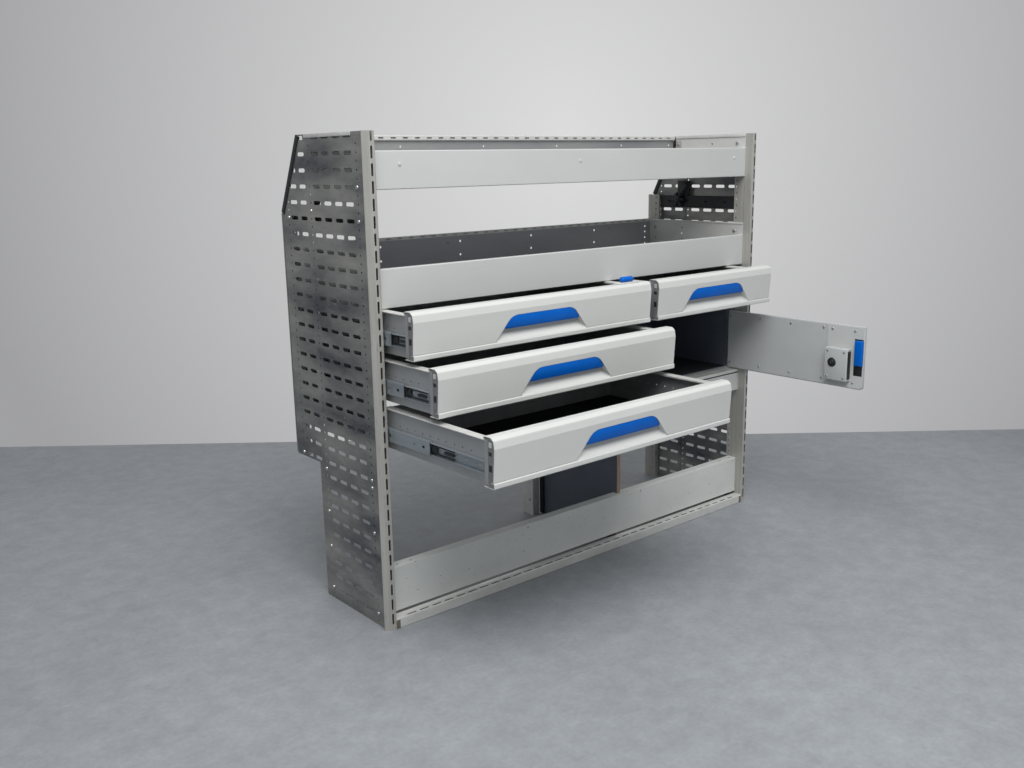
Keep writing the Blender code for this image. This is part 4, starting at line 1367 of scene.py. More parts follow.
    def build_rear_panel(self) -> None:
        """The second tier's rear panel and the bright slotted strip on its top."""
        low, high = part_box("second_rear_panel")
        top = high.z - self.rear_drop
        corners = ((low.y, low.z), (low.y, top), (high.y - self.rear_setback, top))
        punches = [
            Punch(0, z - low.z, span - HALF, self.rear_hole)
            for span in self.rear_hole_spans
            for z in self.rear_hole_heights
        ]
        punches += [
            Punch(0, z - low.z, self.end_hole_span - HALF, self.end_hole)
            for z in self.end_hole_heights
        ]
        sheet = BentSheet(corners, low.x, high.x, Along.X, -SHEET, punches=punches)
        sheet.dress("rear_panel", GALVANISED_REAR, "second_rear_panel")
        front, foot = low.y - self.strip_proud, high.z - self.strip_height
        corners = ((front, foot), (front, high.z), (high.y, high.z), (high.y, foot))
        punches = self.strip_slots(low, high, 0, self.strip_height / 2, self.strip_slot_width)
        sheet = BentSheet(corners, low.x, high.x, Along.X, -SHEET, self.strip_bend, punches)
        sheet.dress("rear_panel_strip", PAINTED_HIGHLIGHT_STRIP)

    def build_plate(
        self,
        side: Side,
        tier: str,
        fold: Sequence[Point],
        holes: Sequence[Point],
        bend: float = 0.001,
    ) -> Seat:
        """Plate beside a tier, folded outwards along its top.

        Args:
            side: The end of the racking.
            tier: Word for the tier in the node's name.
            fold: Inset and drop below the top of each corner of the fold.
            holes: Depth and height of each round hole.
            bend: Inner radius of its bends.

        Returns:
            The lowest and the highest corner of the plate's node.
        """
        node = f"{tier}_side_{side.word}"
        low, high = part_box(node)
        inner = side.x(self.plate_inset + SHEET)
        corners = [(inner, low.z), (inner, high.z)]
        corners += [(side.x(inset), high.z - drop) for inset, drop in fold]
        punches = [Punch(0, z - low.z, FRONT + depth, HOLE) for depth, z in holes]
        sheet = BentSheet(corners, low.y, high.y, Along.Y, -side.value * SHEET, bend, punches)
        sheet.dress(f"{tier}_plate_{side.word}", GALVANISED_PLATE, node)
        return low, high

    def edge_strip(
        self, side: Side, proud: float, depths: Point, heights: Point
    ) -> Shape:
        """A strip that lies on the inner face of a tier's side plate.

        Args:
            side: The end of the racking.
            proud: How far it stands out.
            depths: Y of its two ends.
            heights: Its lower and upper edge.

        Returns:
            The closed shape.
        """
        face = self.plate_inset + SHEET
        near = (side.x(face + GAP / 3), depths[0], heights[0])
        far = (side.x(face + proud), depths[1], heights[1])
        return rounded_block(near, far, 0.0005)

    def build_top_side(self, side: Side) -> None:
        """Plate beside the top tier with a flange over to the panel, its hem and its bracket.

        Args:
            side: The end of the racking.
        """
        fold = ((self.flange_inset, 0.0),)
        low, high = self.build_plate(side, "top", fold, self.top_plate_holes)
        heights = (high.z - self.hem_height, high.z - GAP)
        hem = self.edge_strip(side, self.hem_proud, (low.y, high.y), heights)
        add_piece("top_plate_hem_" + side.word, hem, PAINTED_HIGHLIGHT_STRIP)
        start, end = (high.y - margin for margin in self.bracket_margins)
        bracket = self.edge_strip(side, self.bracket_proud, (start, end), self.bracket_heights)
        add_piece("top_plate_bracket_" + side.word, bracket, GALVANISED_POST)

    def build_second_side(self, side: Side) -> None:
        """Plate beside the second tier with a rolled upper edge.

        Args:
            side: The end of the racking.
        """
        fold = ((self.roll_inset, 0.0), (self.roll_inset, self.roll_height))
        holes = self.second_plate_holes
        low, high = self.build_plate(side, "second", fold, holes, self.roll_bend)
        heights = (high.z - self.roll_height, high.z - GAP)
        roll = self.edge_strip(side, self.roll_proud, (low.y, high.y), heights)
        add_piece("second_plate_roll_" + side.word, roll, PAINTED_HIGHLIGHT_STRIP)

    def build_bolts(self) -> None:
        """Bolt heads inside the tiers."""
        inset = self.plate_inset + SHEET
        places = [
            (Vector((side.x(inset), FRONT + depth, z)), Vector((-side.value, 0, 0)))
            for side in Side
            for depth, z in self.bolt_places
        ]
        bolts("tier_bolts", places, Head(0.0068, 0.004))


@dataclass
class MiddleBay:
    """Mid upright, plywood divider, sill and door compartment."""

    end_margin: float = 0.020
    far_hole_line: float = 0.017
    bolt_heights: tuple[float, ...] = (0.0619, 0.2285, 0.4189)
    film: float = 0.0009
    film_margin: float = 0.0006
    shade_block_depth: float = 0.020
    shade_block_foot: float = 0.004
    shade_block_drop: float = 0.010
    seam_low: float = 0.541
    seam_high: float = 0.547
    sill_lip: float = 0.008
    sill_face_flanges: Point = (0.012, 0.014)
    ridge_near: tuple[float, float, float] = (0.004, 0.030, -0.001)
    ridge_far: tuple[float, float, float] = (-0.014, 0.033, 0.0008)
    seam_shade_depths: Point = (0.0035, 0.009)
    mat_near: tuple[float, float, float] = (0.004, 0.006, 0.0018)
    mat_far: tuple[float, float, float] = (-0.004, -0.004, 0.0048)

    def build(self) -> None:
        """Builds the pieces of the middle bay."""
        self.build_upright()
        self.build_divider()
        self.build_sill()
        self.build_compartment()

    def build_upright(self) -> None:
        """The mid upright, open to the rear, with holes in its side walls."""
        low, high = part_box("mid_rear_upright")
        corners = ((low.x, high.y), (low.x, low.y), (high.x, low.y), (high.x, high.y))
        heights = rows(BOTTOM_ROW, HOLE_PITCH, self.end_margin, high.z - self.end_margin)
        depth = high.y - FRONT - UPRIGHT_HOLES
        lines = ((0, depth), (2, self.far_hole_line))
        punches = [Punch(run, across, z, HOLE) for run, across in lines for z in heights]
        sheet = BentSheet(corners, 0, high.z, Along.Z, SHEET, FRAME_BEND, punches)
        sheet.dress("middle_upright", GALVANISED_PLATE, "mid_rear_upright")
        places = [
            (Vector((low.x, FRONT + UPRIGHT_HOLES, z)), Vector((-1, 0, 0)))
            for z in self.bolt_heights
        ]
        bolts("middle_upright_bolts", places, Head(0.006, 0.0035))

    def build_divider(self) -> None:
        """The divider's ply core, its filmed faces, and a black block behind it as painted shade in
        the corner by the upright.
        """
        low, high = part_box("mid_divider")
        film = self.film
        core = pushed(self.divider_outline(0.0), low.x + film, high.x - film, Along.X)
        add_piece("divider_core", core, PLY_EDGE, stands_for=["mid_divider"])
        outline = self.divider_outline(self.film_margin)
        films = [pushed(outline, x, x + film, Along.X) for x in (low.x, high.x - film)]
        add_piece("divider_film", joined(films), FILM_FACE)
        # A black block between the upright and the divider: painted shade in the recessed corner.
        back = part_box("mid_rear_upright")[1].x
        near = (back + GAP / 3, high.y - self.shade_block_depth, self.shade_block_foot)
        far = (low.x - GAP / 3, high.y - GAP, high.z - self.shade_block_drop)
        add_piece("divider_packing", rounded_block(near, far, 0.0008), BLACK_PLASTIC)

    def divider_outline(self, margin: float) -> list[Point]:
        """Outline of the divider with the notch round the lowest fascia's flange.

        Args:
            margin: How far the outline is drawn in.

        Returns:
            Its corners as Y and Z.
        """
        low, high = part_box("mid_divider")
        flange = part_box("bottom_fascia")[1]
        notch_y, notch_z = flange.y + GAP + margin, flange.z + GAP + margin
        front, back = low.y + margin, high.y - margin
        foot, top = low.z + margin, high.z - margin
        return [
            (notch_y, foot), (back, foot), (back, top), (front, top), (front, notch_z),
            (notch_y, notch_z),
        ]

    def build_sill(self) -> None:
        """The sill's top plate, its face below a seam, and a black strip behind the seam as painted
        shade in the gap.
        """
        low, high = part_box("cross_rail")
        corners = (
            (low.y, self.seam_high), (low.y, high.z), (high.y, high.z),
            (high.y, high.z - self.sill_lip),
        )
        plate = BentSheet(corners, low.x, high.x, Along.X, -SHEET).build()
        near = Vector((low.x, low.y, high.z)) + Vector(self.ridge_near)
        far = Vector((high.x, low.y, high.z)) + Vector(self.ridge_far)
        whole = joined([plate, rounded_block(near, far, 0.0005)])
        add_piece("sill_plate", whole, PAINTED_HIGHLIGHT_STRIP, stands_for=["cross_rail"])
        under, over = self.sill_face_flanges
        corners = (
            (low.y + under, low.z), (low.y, low.z), (low.y, self.seam_low),
            (low.y + over, self.seam_low),
        )
        BentSheet(corners, low.x, high.x, Along.X, -SHEET).dress("sill_face", LIGHT_ENAMEL)
        # A black strip behind the gap: painted shade in the seam.
        front, back = (low.y + depth for depth in self.seam_shade_depths)
        near = (low.x + 0.001, front, self.seam_low + 0.0002)
        far = (high.x - 0.001, back, self.seam_high - 0.0002)
        add_piece("sill_seam", rounded_block(near, far, 0.0005), BLACK_PLASTIC)

    def build_compartment(self) -> None:
        """The dark box gets its finish and a mat."""
        refinish("compartment_box", DARK_ENAMEL)
        low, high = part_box("compartment_box")
        near = low + Vector(self.mat_near)
        far = Vector((high.x, high.y, low.z)) + Vector(self.mat_far)
        add_piece("compartment_mat", rounded_block(near, far, 0.0008), RUBBER_MAT)


@dataclass
class Drawer:
    """One drawer: front with its scoop, end caps and flap, tray, mat and slides.

    Depths and heights of the front are measured from its face and its base.
    """

    name: str
    thickness: float = 0.002
    lip_height: float = 0.016
    lip_setback: float = 0.003
    lip_roof: float = 0.016
    seam: float = 0.0012
    lean: float = 0.0065
    fold_height: float = 0.108
    shoulder_setback: float = 0.004
    shoulder_height: float = 0.129
    top_setback: float = 0.015
    height: float = 0.137
    depth: float = 0.045
    rear_lip: float = 0.012
    face_bend: float = 0.0035
    scoop_base: float = 0.020
    scoop_top: float = 0.092
    scoop_base_half: float = 0.185
    scoop_top_half: float = 0.126
    scoop_reach: float = 0.029
    scoop_rise: float = 0.026
    scoop_corner: float = 0.050
    scoop_narrowing: float = 0.020
    scoop_fillet: float = 0.006
    scoop_wall: float = 0.0014
    cap_depth: float = 0.028
    cap_marks: Point = (0.012, 0.024)
    bracket_heights: Point = (0.006, 0.131)
    flap_tilt: float = 9.5
    flap_height: float = 0.0395
    flap_play: float = 0.0006
    flap_half_thickness: float = 0.0015
    flap_rim_depth: float = 0.005
    flap_top: Point = (0.00313, 0.0899)
    foot_corner: float = 0.005
    tray_wall: float = 0.001
    tray_bend: float = 0.0004
    tray_floor: float = 0.003
    tray_top: float = 0.125
    rim_inward: float = 0.020
    rim_outward: float = 0.0075
    rim_fold: float = 0.0036
    rim_lip: float = 0.006
    end_fold: float = 0.012
    hole_height: float = 0.080
    hole_width: float = 0.0048
    first_hole: float = 0.115
    hole_step: float = 0.037
    hole_count: int = 10
    rib_pitch: float = 0.009
    rib_drop: float = 0.0012
    slide_centre: float = 0.049
    member_height: float = 0.0378
    member_depth: float = 0.0098
    member_sheet: float = 0.0011
    member_bend: float = 0.0007
    member_curl: float = 0.0035
    stop_margin: float = 0.0065
    lever_length: float = 0.105
    centre: float = field(init=False)
    half: float = field(init=False)
    face: float = field(init=False)
    base: float = field(init=False)
    tray_half: float = field(init=False)
    tray_front: float = field(init=False)
    tray_back: float = field(init=False)

    def __post_init__(self) -> None:
        """Reads the drawer's place from the frame."""
        low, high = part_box(self.name + "_front")
        self.centre = (low.x + high.x) / 2
        self.half = (high.x - low.x) / 2
        self.face = low.y
        self.base = low.z
        mat_low, mat_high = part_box(self.name + "_mat")
        self.tray_half = (mat_high.x - mat_low.x) / 2 + 0.001 + SHEET
        self.tray_front, self.tray_back = (corner.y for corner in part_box(self.name + "_tray"))

    def build(self) -> None:
        """Builds every piece of the drawer."""
        self.build_face()
        self.build_lip()
        self.build_scoop()
        self.build_end_caps()
        self.build_flap()
        self.build_tray()
        self.build_mat()
        self.build_middle_members()
        self.build_drawer_members()

    def add(
        self, name: str, shape: Shape, finish: Finish, stands_for: str = ""
    ) -> None:
        """Adds a piece that rides on the drawer.

        Args:
            name: Its name after the drawer's.
            shape: Its closed shape.
            finish: Its surface.
            stands_for: Node that it replaces, without the drawer's name.
        """
        nodes = [f"{self.name}_{stands_for}"] if stands_for else []
        add_piece(f"{self.name}_{name}", shape, finish, self.name, nodes)

    def centred(self, shape: Shape) -> Shape:
        """A shape drawn around X = 0, moved to the drawer's middle."""
        bmesh.ops.translate(shape, verts=shape.verts, vec=(self.centre, 0, 0))
        return shape

    def front_path(self, *spots: Point) -> list[Point]:
        """Section points of the drawer front for depths and heights."""
        return [(self.face + depth, self.base + height) for depth, height in spots]

    def face_depth(self, height: float) -> float:
        """Depth of the leaning face at a height."""
        return self.lean * (self.fold_height - height) / (self.fold_height - self.lip_height)

    def scoop_half(self, height: float) -> float:
        """Half the width of the scoop at a height."""
        slope = (self.scoop_base_half - self.scoop_top_half) / (self.scoop_top - self.scoop_base)
        return self.scoop_base_half + (self.scoop_base - height) * slope

    def build_face(self) -> None:
        """The leaning face with its notch for the scoop."""
        seam = self.lip_height + self.seam
        corners = self.front_path(
            (self.face_depth(seam), seam), (0, self.fold_height),
            (self.shoulder_setback, self.shoulder_height), (self.top_setback, self.height),
            (self.depth, self.height), (self.depth, self.height - self.rear_lip),
        )
        span = (-self.half, self.half)
        sheet = BentSheet(corners, *span, Along.X, -self.thickness, self.face_bend)
        sheet.lay_out()
        foot, rise, top = self.scoop_half(seam), self.scoop_top - seam, self.scoop_top_half
        left, right = (rise, top), (rise, -top)
        notch = [(0.0, foot)]
        notch += corner_arc(left, (0.0, foot), right, self.scoop_corner)
        notch += corner_arc(right, left, (0.0, -foot), self.scoop_corner)
        notch += [(0.0, -foot)]
        width = sheet.width()
        sheet.flat_outline = [
            (0.0, self.half), *notch, (0.0, -self.half), (width, -self.half), (width, self.half),
        ]
        self.add("face", self.centred(sheet.build()), FRONT_PLASTIC, "front")

    def build_lip(self) -> None:
        """The lip below the face."""
        corners = self.front_path(
            (self.depth, 0), (self.lip_setback, 0), (self.lip_setback, self.lip_height),
            (self.lip_roof, self.lip_height),
        )
        span = (-self.half, self.half)
        lip = BentSheet(corners, *span, Along.X, -self.thickness, FRAME_BEND).build()
        self.add("lip", self.centred(lip), FRONT_PLASTIC)

    def build_scoop(self) -> None:
        """The moulded hollow behind the notch, from its floor up to its roof."""
        low = self.lip_height + 0.0004
        foot, back, top = self.scoop_half(low), self.scoop_reach, self.scoop_top_half
        narrow = foot - self.scoop_narrowing
        front_low = self.face_depth(low) + 0.0004
        front_top = self.face_depth(self.scoop_top) + self.thickness
        outer = [
            (-foot, front_low, low), (foot, front_low, low),
            (top + 0.002, front_top, self.scoop_top + 0.002),
            (-top - 0.002, front_top, self.scoop_top + 0.002),
        ]
        floor, roof = low + self.scoop_rise, self.scoop_top + 0.001
        inner = [
            (-narrow, back, floor), (narrow, back, floor), (top - 0.004, back, roof),
            (-top + 0.004, back, roof),
        ]
        shape = bmesh.new()
        origin = Vector((self.centre, self.face, self.base))
        loops = []
        for ring in (outer, inner):
            verts = [shape.verts.new(origin + Vector(point)) for point in ring]
            loops.append([shape.edges.new((verts[i - 1], vert)) for i, vert in enumerate(verts)])
        bmesh.ops.bridge_loops(shape, edges=loops[0] + loops[1])
        bmesh.ops.edgeloop_fill(shape, edges=loops[1])
        inside = [edge for edge in shape.edges if not edge.is_boundary]
        soften(shape, inside, self.scoop_fillet, 4)
        bmesh.ops.recalc_face_normals(shape, faces=shape.faces[:])
        rear = max(shape.faces, key=lambda face: abs(face.normal.y))
        if rear.normal.dot(FORWARD) < 0:
            bmesh.ops.reverse_faces(shape, faces=shape.faces[:])
        bmesh.ops.solidify(shape, geom=shape.faces[:], thickness=self.scoop_wall)
        self.add("scoop", shape, FRONT_PLASTIC)

    def build_end_caps(self) -> None:
        """Grey caps at both ends of the front, each with a clip and two windows, and brackets."""
        inset = self.thickness + 0.0004
        lip, top = self.lip_setback + inset, self.height - inset
        outline = self.front_path(
            (self.cap_depth, inset), (lip, inset), (lip, self.lip_height - inset),
            (self.lean + inset, self.lip_height + 0.001), (inset, self.fold_height),
            (self.shoulder_setback + inset, self.shoulder_height - inset * 0.4),
            (self.top_setback + inset * 0.6, top), (self.cap_depth, top),
        )
        start, end = self.cap_depth + 0.0004, self.depth - 0.0004
        foot, top = self.bracket_heights
        plate = self.front_path((start, foot), (end, foot), (end, top), (start, top))
        caps, plates, clips, windows = [], [], [], []
        marks = ((clips, 0.110, 0.014), (windows, 0.088, 0.010), (windows, 0.045, 0.018))
        mark_front, mark_back = (self.face + depth for depth in self.cap_marks)
        for sign in (-1, 1):
            insets = (0.0001, 0.0004, 0.0024, 0.0034)
            proud, edge, bracket, wall = (self.centre + sign * (self.half - x) for x in insets)
            caps.append(pushed(outline, edge, wall, Along.X))
            plates.append(pushed(plate, bracket, wall, Along.X))
            for group, height, tall in marks:
                near = (edge, mark_front, self.base + height)
                far = (proud, mark_back, self.base + height + tall)
                group.append(rounded_block(near, far, 0.0001, 1))
        self.add("end_caps", joined(caps), CAP_PLASTIC)
        self.add("side_brackets", joined(plates), TRAY_STEEL)
        self.add("cap_clips", joined(clips), PAINTED_HIGHLIGHT_STRIP)
        self.add("cap_windows", joined(windows), BLACK_PLASTIC)

    def build_flap(self) -> None:
        """The blue flap with rounded corners and a thickened lower edge."""
        tall, thick = self.flap_height, self.flap_half_thickness
        top = self.scoop_top_half - self.flap_play
        foot = self.scoop_half(self.scoop_top - tall) - self.flap_play
        corners = [(-foot, -tall), (foot, -tall), (top, 0), (-top, 0)]
        radii = (self.foot_corner,) * 2 + (self.scoop_corner + 0.001,) * 2
        outline = []
        for k, (corner, radius) in enumerate(zip(corners, radii)):
            outline += corner_arc(corner, corners[k - 1], corners[(k + 1) % 4], radius)
        shape = pushed(outline, -thick, thick, Along.Y)
        soften(shape, sharp_edges(shape), 0.0007)
        reach = foot - 0.011
        near, far = (-reach, -thick, -tall + 0.0002), (reach, self.flap_rim_depth, -tall + 0.004)
        whole = joined([shape, rounded_block(near, far, 0.0012)])
        turn = Matrix.Rotation(radians(self.flap_tilt), 4, "X")
        depth, height = self.flap_top
        pivot = Vector((self.centre, self.face + depth, self.base + height))
        place = Matrix.Translation(pivot) @ turn @ Matrix.Translation((0, 0, thick))
        bmesh.ops.transform(whole, matrix=place, verts=whole.verts)
        node = self.name + "_handle_flap"
        add_piece(self.name + "_flap_plate", whole, BLUE_PLASTIC, self.name + "_flap", [node])

    def build_tray(self) -> None:
        """The tray's folded sheet with its holes and end walls, and the bright rolled rims."""
        half, wall, bend = self.tray_half, self.tray_wall, self.tray_bend
        floor, top = self.base + self.tray_floor, self.base + self.tray_top
        fold = top - self.rim_fold
        outside, inside = half + self.rim_outward, half - self.rim_inward
        lip = top - self.rim_lip
        rim = [(half, fold), (outside, fold), (outside, top), (inside, top), (inside, lip)]
        paths = (rim, [(-x, z) for x, z in rim[::-1]])
        span = (self.tray_front, self.tray_back)
        rims = joined([BentSheet(path, *span, Along.Y, wall, bend).build() for path in paths])
        self.add("tray_rims", self.centred(rims), PAINTED_HIGHLIGHT_STRIP)
        edge = fold - GAP
        corners = ((-half, edge), (-half, floor), (half, floor), (half, edge))
        reach = self.hole_height - self.tray_floor
        punches = [
            Punch(run, across, self.face + self.first_hole + k * self.hole_step, self.hole_width)
            for k in range(self.hole_count)
            for run, across in ((2, reach), (0, edge - floor - reach))
        ]
        pieces = [BentSheet(corners, *span, Along.Y, wall, bend, punches).build()]
        reach, brim = half - wall - 0.0002, top - 0.0012
        for y, way in ((self.tray_front, 1), (self.tray_back, -1)):
            back = y + way * self.end_fold
            corners = ((y, floor + wall), (y, brim), (back, brim), (back, lip))
            pieces.append(BentSheet(corners, -reach, reach, Along.X, -way * wall, bend).build())
        self.add("tray_sheet", self.centred(joined(pieces)), TRAY_STEEL, "tray")

    def build_mat(self) -> None:
        """The ribbed mat on the tray's floor."""
        low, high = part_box(self.name + "_mat")
        count = int((high.x - low.x) / self.rib_pitch)
        step = (high.x - low.x) / count
        profile = [(low.x, low.z), (high.x, low.z)]
        groove = high.z - self.rib_drop
        for k in range(count):
            right = high.x - k * step
            profile += [(right - step * 0.08, high.z), (right - step * 0.62, high.z)]
            if k + 1 < count:
                profile += [(right - step * 0.70, groove), (right - step, groove)]
        self.add("ribbed_mat", pushed(profile, low.y, high.y, Along.Y), RUBBER_MAT, "mat")

    def member(
        self,
        web: float,
        way: float,
        height: float,
        depth: float,
        span: Point,
        holes: Sequence[tuple[float, float, float]],
        curl: float,
    ) -> Shape:
        """One C-shaped slide member.

        Args:
            web: X of the web's outer face.
            way: Sign of the X direction in which its lips point.
            height: Height of the member.
            depth: How far its lips reach.
            span: Y of its two ends.
            holes: Y, length and height of each hole in its web.
            curl: How far its lips turn inward at their tips.

        Returns:
            The closed shape.
        """
        half = height / 2
        low, high = self.base + self.slide_centre - half, self.base + self.slide_centre + half
        tip = web + way * depth
        corners = [(tip, low), (web, low), (web, high), (tip, high)]
        if curl:
            corners = [(tip, low + curl), *corners, (tip, high - curl)]
        punches = [Punch(2 if curl else 1, half, y, tall, long) for y, long, tall in holes]
        sheet = -way * self.member_sheet
        return BentSheet(corners, *span, Along.Y, sheet, self.member_bend, punches).build()

    def build_middle_members(self) -> None:
        """The middle members, each with its black stop at the front end."""
        body = self.name + "_middle_slides"
        for end, way in (("left", 1), ("right", -1)):
            node = f"{self.name}_slide_middle_{end}"
            low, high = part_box(node)
            web = low.x if way > 0 else high.x
            front, back = low.y, high.y
            large, small = (0.012, 0.008), (0.006, 0.006)
            holes = (
                (front + 0.03, *large), (front + 0.075, *small), (front + 0.20, 0.02, 0.010),
                (back - 0.05, *large), (back - 0.15, *small),
            )
            shape = self.member(web, way, high.z - low.z, high.x - low.x, (front, back), holes, 0.0)
            add_piece(f"{self.name}_middle_member_{end}", shape, ZINC_SLIDE, body, [node])
            near = (web + way * 0.0016, front - 0.0012, low.z + self.stop_margin)
            far = (web + way * 0.0054, front + 0.006, high.z - self.stop_margin)
            stop = rounded_block(near, far, 0.0008)
            add_piece(f"{self.name}_member_stop_{end}", stop, BLACK_PLASTIC, body)

    def build_drawer_members(self) -> None:
        """The drawer's own slide members with levers and rivets."""
        levers, rivets, members = [], [], []
        middle = self.base + self.slide_centre
        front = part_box(f"{self.name}_slide_middle_left")[0].y
        start = max(front - self.lever_length, self.tray_front + 0.003)
        span = (self.tray_front + 0.001, self.tray_back - 0.002)
        holes = [(y, 0.010, 0.0055) for y in (span[0] + 0.035, span[0] + 0.2, span[1] - 0.06)]
        # Y of both ends, lower and upper edge around the middle, and rounding of each lever
        bars = (
            (start, front - 0.002, 0.0095, 0.0128, 0.0006),
            (start, front - 0.002, -0.0128, -0.0095, 0.0006),
            (start + 0.004, start + (front - start) * 0.45, -0.004, 0.004, 0.0008),
            (front - 0.026, front - 0.008, -0.0128, 0.0128, 0.001),
        )
        for sign in (-1, 1):
            wall = self.centre + sign * self.tray_half
            web = wall + sign * 0.0002
            members.append(
                self.member(
                    web, sign, self.member_height, self.member_depth, span, holes, self.member_curl
                )
            )
            inner, outer = wall + sign * 0.0030, wall + sign * 0.0062
            for near_y, far_y, foot, top, radius in bars:
                near, far = (inner, near_y, middle + foot), (outer, far_y, middle + top)
                levers.append(rounded_block(near, far, radius))
            for y in (0.018, 0.028, 0.09):
                seat = Vector((wall + sign * 0.0014, self.tray_front + y, middle + 0.001))
                rivets.append((seat, Vector((sign, 0, 0))))
        self.add("drawer_members", joined(members), ZINC_SLIDE)
        self.add("slide_levers", joined(levers), BLACK_PLASTIC)
        bolts(self.name + "_slide_screws", rivets, Head(0.0042, 0.0016), self.name)


@dataclass
class Door:
    """The open door: panel, inner plates, hinge, lock box, lock and latch."""

    plate: float = 0.0012
    margin: float = 0.0035
    seam: float = -0.3885
    seam_half: float = 0.0006
    screw_depths: tuple[float, ...] = (0.065, -0.075, -0.214, -0.355, -0.392, -0.483)
    screw_heights: tuple[float, ...] = (0.773, 0.584)
    notch_low: float = 0.6105
    notch_high: float = 0.745
    notch_depth: float = 0.038
    pocket_margin: float = 0.0005
    corner_radius: float = 0.012
    lock_screws: tuple[Point, ...] = (
        (0.012, 0.012), (0.080, 0.012), (0.012, 0.107), (0.080, 0.107),
    )
    mouth_margin: float = 0.008
    keyway: Point = (0.0008, 0.0045)
    hinge_axis: Point = (0.8435, 0.0645)
    hinge_half: float = 0.0012
    knuckle_radius: float = 0.0024
    knuckle_gap: float = 0.0008
    knuckle_count: int = 8

    def build(self) -> None:
        """Builds every piece of the door."""
        self.build_shell()
        self.build_plates()
        self.build_lock()
        self.build_latch()
        self.build_hinge()

    def build_shell(self) -> None:
        """The outer skin, rounded at its edges and at its lower free corner."""
        low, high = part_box("door_panel")
        corner = corner_arc((low.y, low.z), (low.y, high.z), (high.y, low.z), self.corner_radius)
        outline = [(high.y, low.z), (high.y, high.z), (low.y, high.z), *corner]
        shape = pushed(outline, low.x + self.plate + GAP, high.x, Along.X)
        soften(shape, sharp_edges(shape), 0.0018, 3)
        add_piece("door_shell", shape, DOOR_ENAMEL, "door", ["door_panel"])

    def build_plates(self) -> None:
        """The two inner plates with their screws, and the pocket for the latch."""
        low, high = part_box("door_panel")
        top, foot = high.z - self.margin, low.z + self.margin
        hinge_edge, free_edge = high.y - self.margin, low.y + self.margin
        notch_edge = low.y + self.notch_depth
        near, far = self.seam + self.seam_half, self.seam - self.seam_half
        main = ((near, foot), (hinge_edge, foot), (hinge_edge, top), (near, top))
        radius = self.corner_radius - self.margin / 2
        end = (
            *corner_arc((free_edge, foot), (free_edge, top), (self.seam, foot), radius),
            (far, foot), (far, top), (free_edge, top), (free_edge, self.notch_high),
            (notch_edge, self.notch_high), (notch_edge, self.notch_low),
            (free_edge, self.notch_low),
        )
        shapes = [pushed(outline, low.x, low.x + self.plate, Along.X) for outline in (main, end)]
        for shape in shapes:
            soften(shape, sharp_edges(shape), 0.0003, 1)
        inset = self.pocket_margin
        pocket = rounded_block(
            (low.x + 0.0002, free_edge + inset, self.notch_low + inset),
            (low.x + self.plate + GAP / 2, notch_edge - inset, self.notch_high - inset),
            0.0003,
        )
        add_piece("latch_pocket", pocket, BLACK_PLASTIC, "door")
        add_piece("door_inner_plate", shapes[0], DOOR_ENAMEL, "door")
        add_piece("door_end_plate", shapes[1], LIGHT_ENAMEL, "door")
        places = [
            (Vector((low.x, FRONT + depth, height)), Vector((-1, 0, 0)))
            for depth in self.screw_depths
            for height in self.screw_heights
        ]
        bolts("door_screws", places, Head(0.0050, 0.0018), "door")

    def build_lock(self) -> None:
        """The lock box with its screws, the lock's rosette and the turning cylinder."""
        low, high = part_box("lock_box")
        inward = Vector((-1, 0, 0))
        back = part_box("door_panel")[0].x - GAP / 3
        case = rounded_block(low, (back, high.y, high.z), 0.0028, 3)
        add_piece("lock_case", case, DOOR_ENAMEL, "door", ["lock_box"])
        places = [(Vector((low.x, low.y + y, low.z + z)), inward) for y, z in self.lock_screws]
        bolts("lock_case_screws", places, Head(0.0044, 0.0018), "door")
        near = (low.x + 0.004, low.y - 0.0004, low.z + self.mouth_margin)
        far = (back - 0.001, low.y + 0.001, high.z - self.mouth_margin)
        add_piece("lock_case_mouth", rounded_block(near, far, 0.0004), BLACK_PLASTIC, "door")
        lock_low, lock_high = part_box("lock_cylinder")
        _, y, z = (lock_low + lock_high) / 2
        rosette = [(Vector((low.x, y, z)), inward)]
        bolts("lock_rosette", rosette, Head(0.0175, 0.0030), "door", BLACK_PLASTIC)
        seat = facing(Vector((low.x - GAP, y, z)), inward)
        core = repeated(Head(0.0105, 0.0060).build(), [seat])
        add_piece("lock_core", core, BLACK_PLASTIC, "lock", ["lock_cylinder"])
        wide, tall = self.keyway
        near = (lock_low.x - 0.0002, y - wide, z - tall)
        far = (lock_low.x + 0.001, y + wide, z + tall)
        add_piece("lock_keyway", rounded_block(near, far, 0.0003), ZINC_SLIDE, "lock")

    def build_latch(self) -> None:
        """The blue latch."""
        shape = rounded_block(*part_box("door_latch"), 0.004, 3)
        add_piece("latch_slider", shape, BLUE_PLASTIC, "latch", ["door_latch"])

    def build_hinge(self) -> None:
        """A long hinge: its leaf and a barrel of separate knuckles."""
        low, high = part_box("door_hinge")
        x, y = self.hinge_axis
        pitch = (high.z - low.z) / self.knuckle_count
        pieces = []
        for k in range(self.knuckle_count):
            knuckle = bmesh.new()
            bmesh.ops.create_cone(
                knuckle, cap_ends=True, segments=16, radius1=self.knuckle_radius,
                radius2=self.knuckle_radius, depth=pitch - self.knuckle_gap,
                matrix=Matrix.Translation((x, y, low.z + (k + 0.5) * pitch)),
            )
            pieces.append(knuckle)
        near = (x - self.hinge_half, y + self.knuckle_radius, low.z)
        far = (x + self.hinge_half, high.y, high.z)
        pieces.append(rounded_block(near, far, 0.0004))
        add_piece("hinge_leaf", joined(pieces), ZINC_SLIDE, "frame", ["door_hinge"])


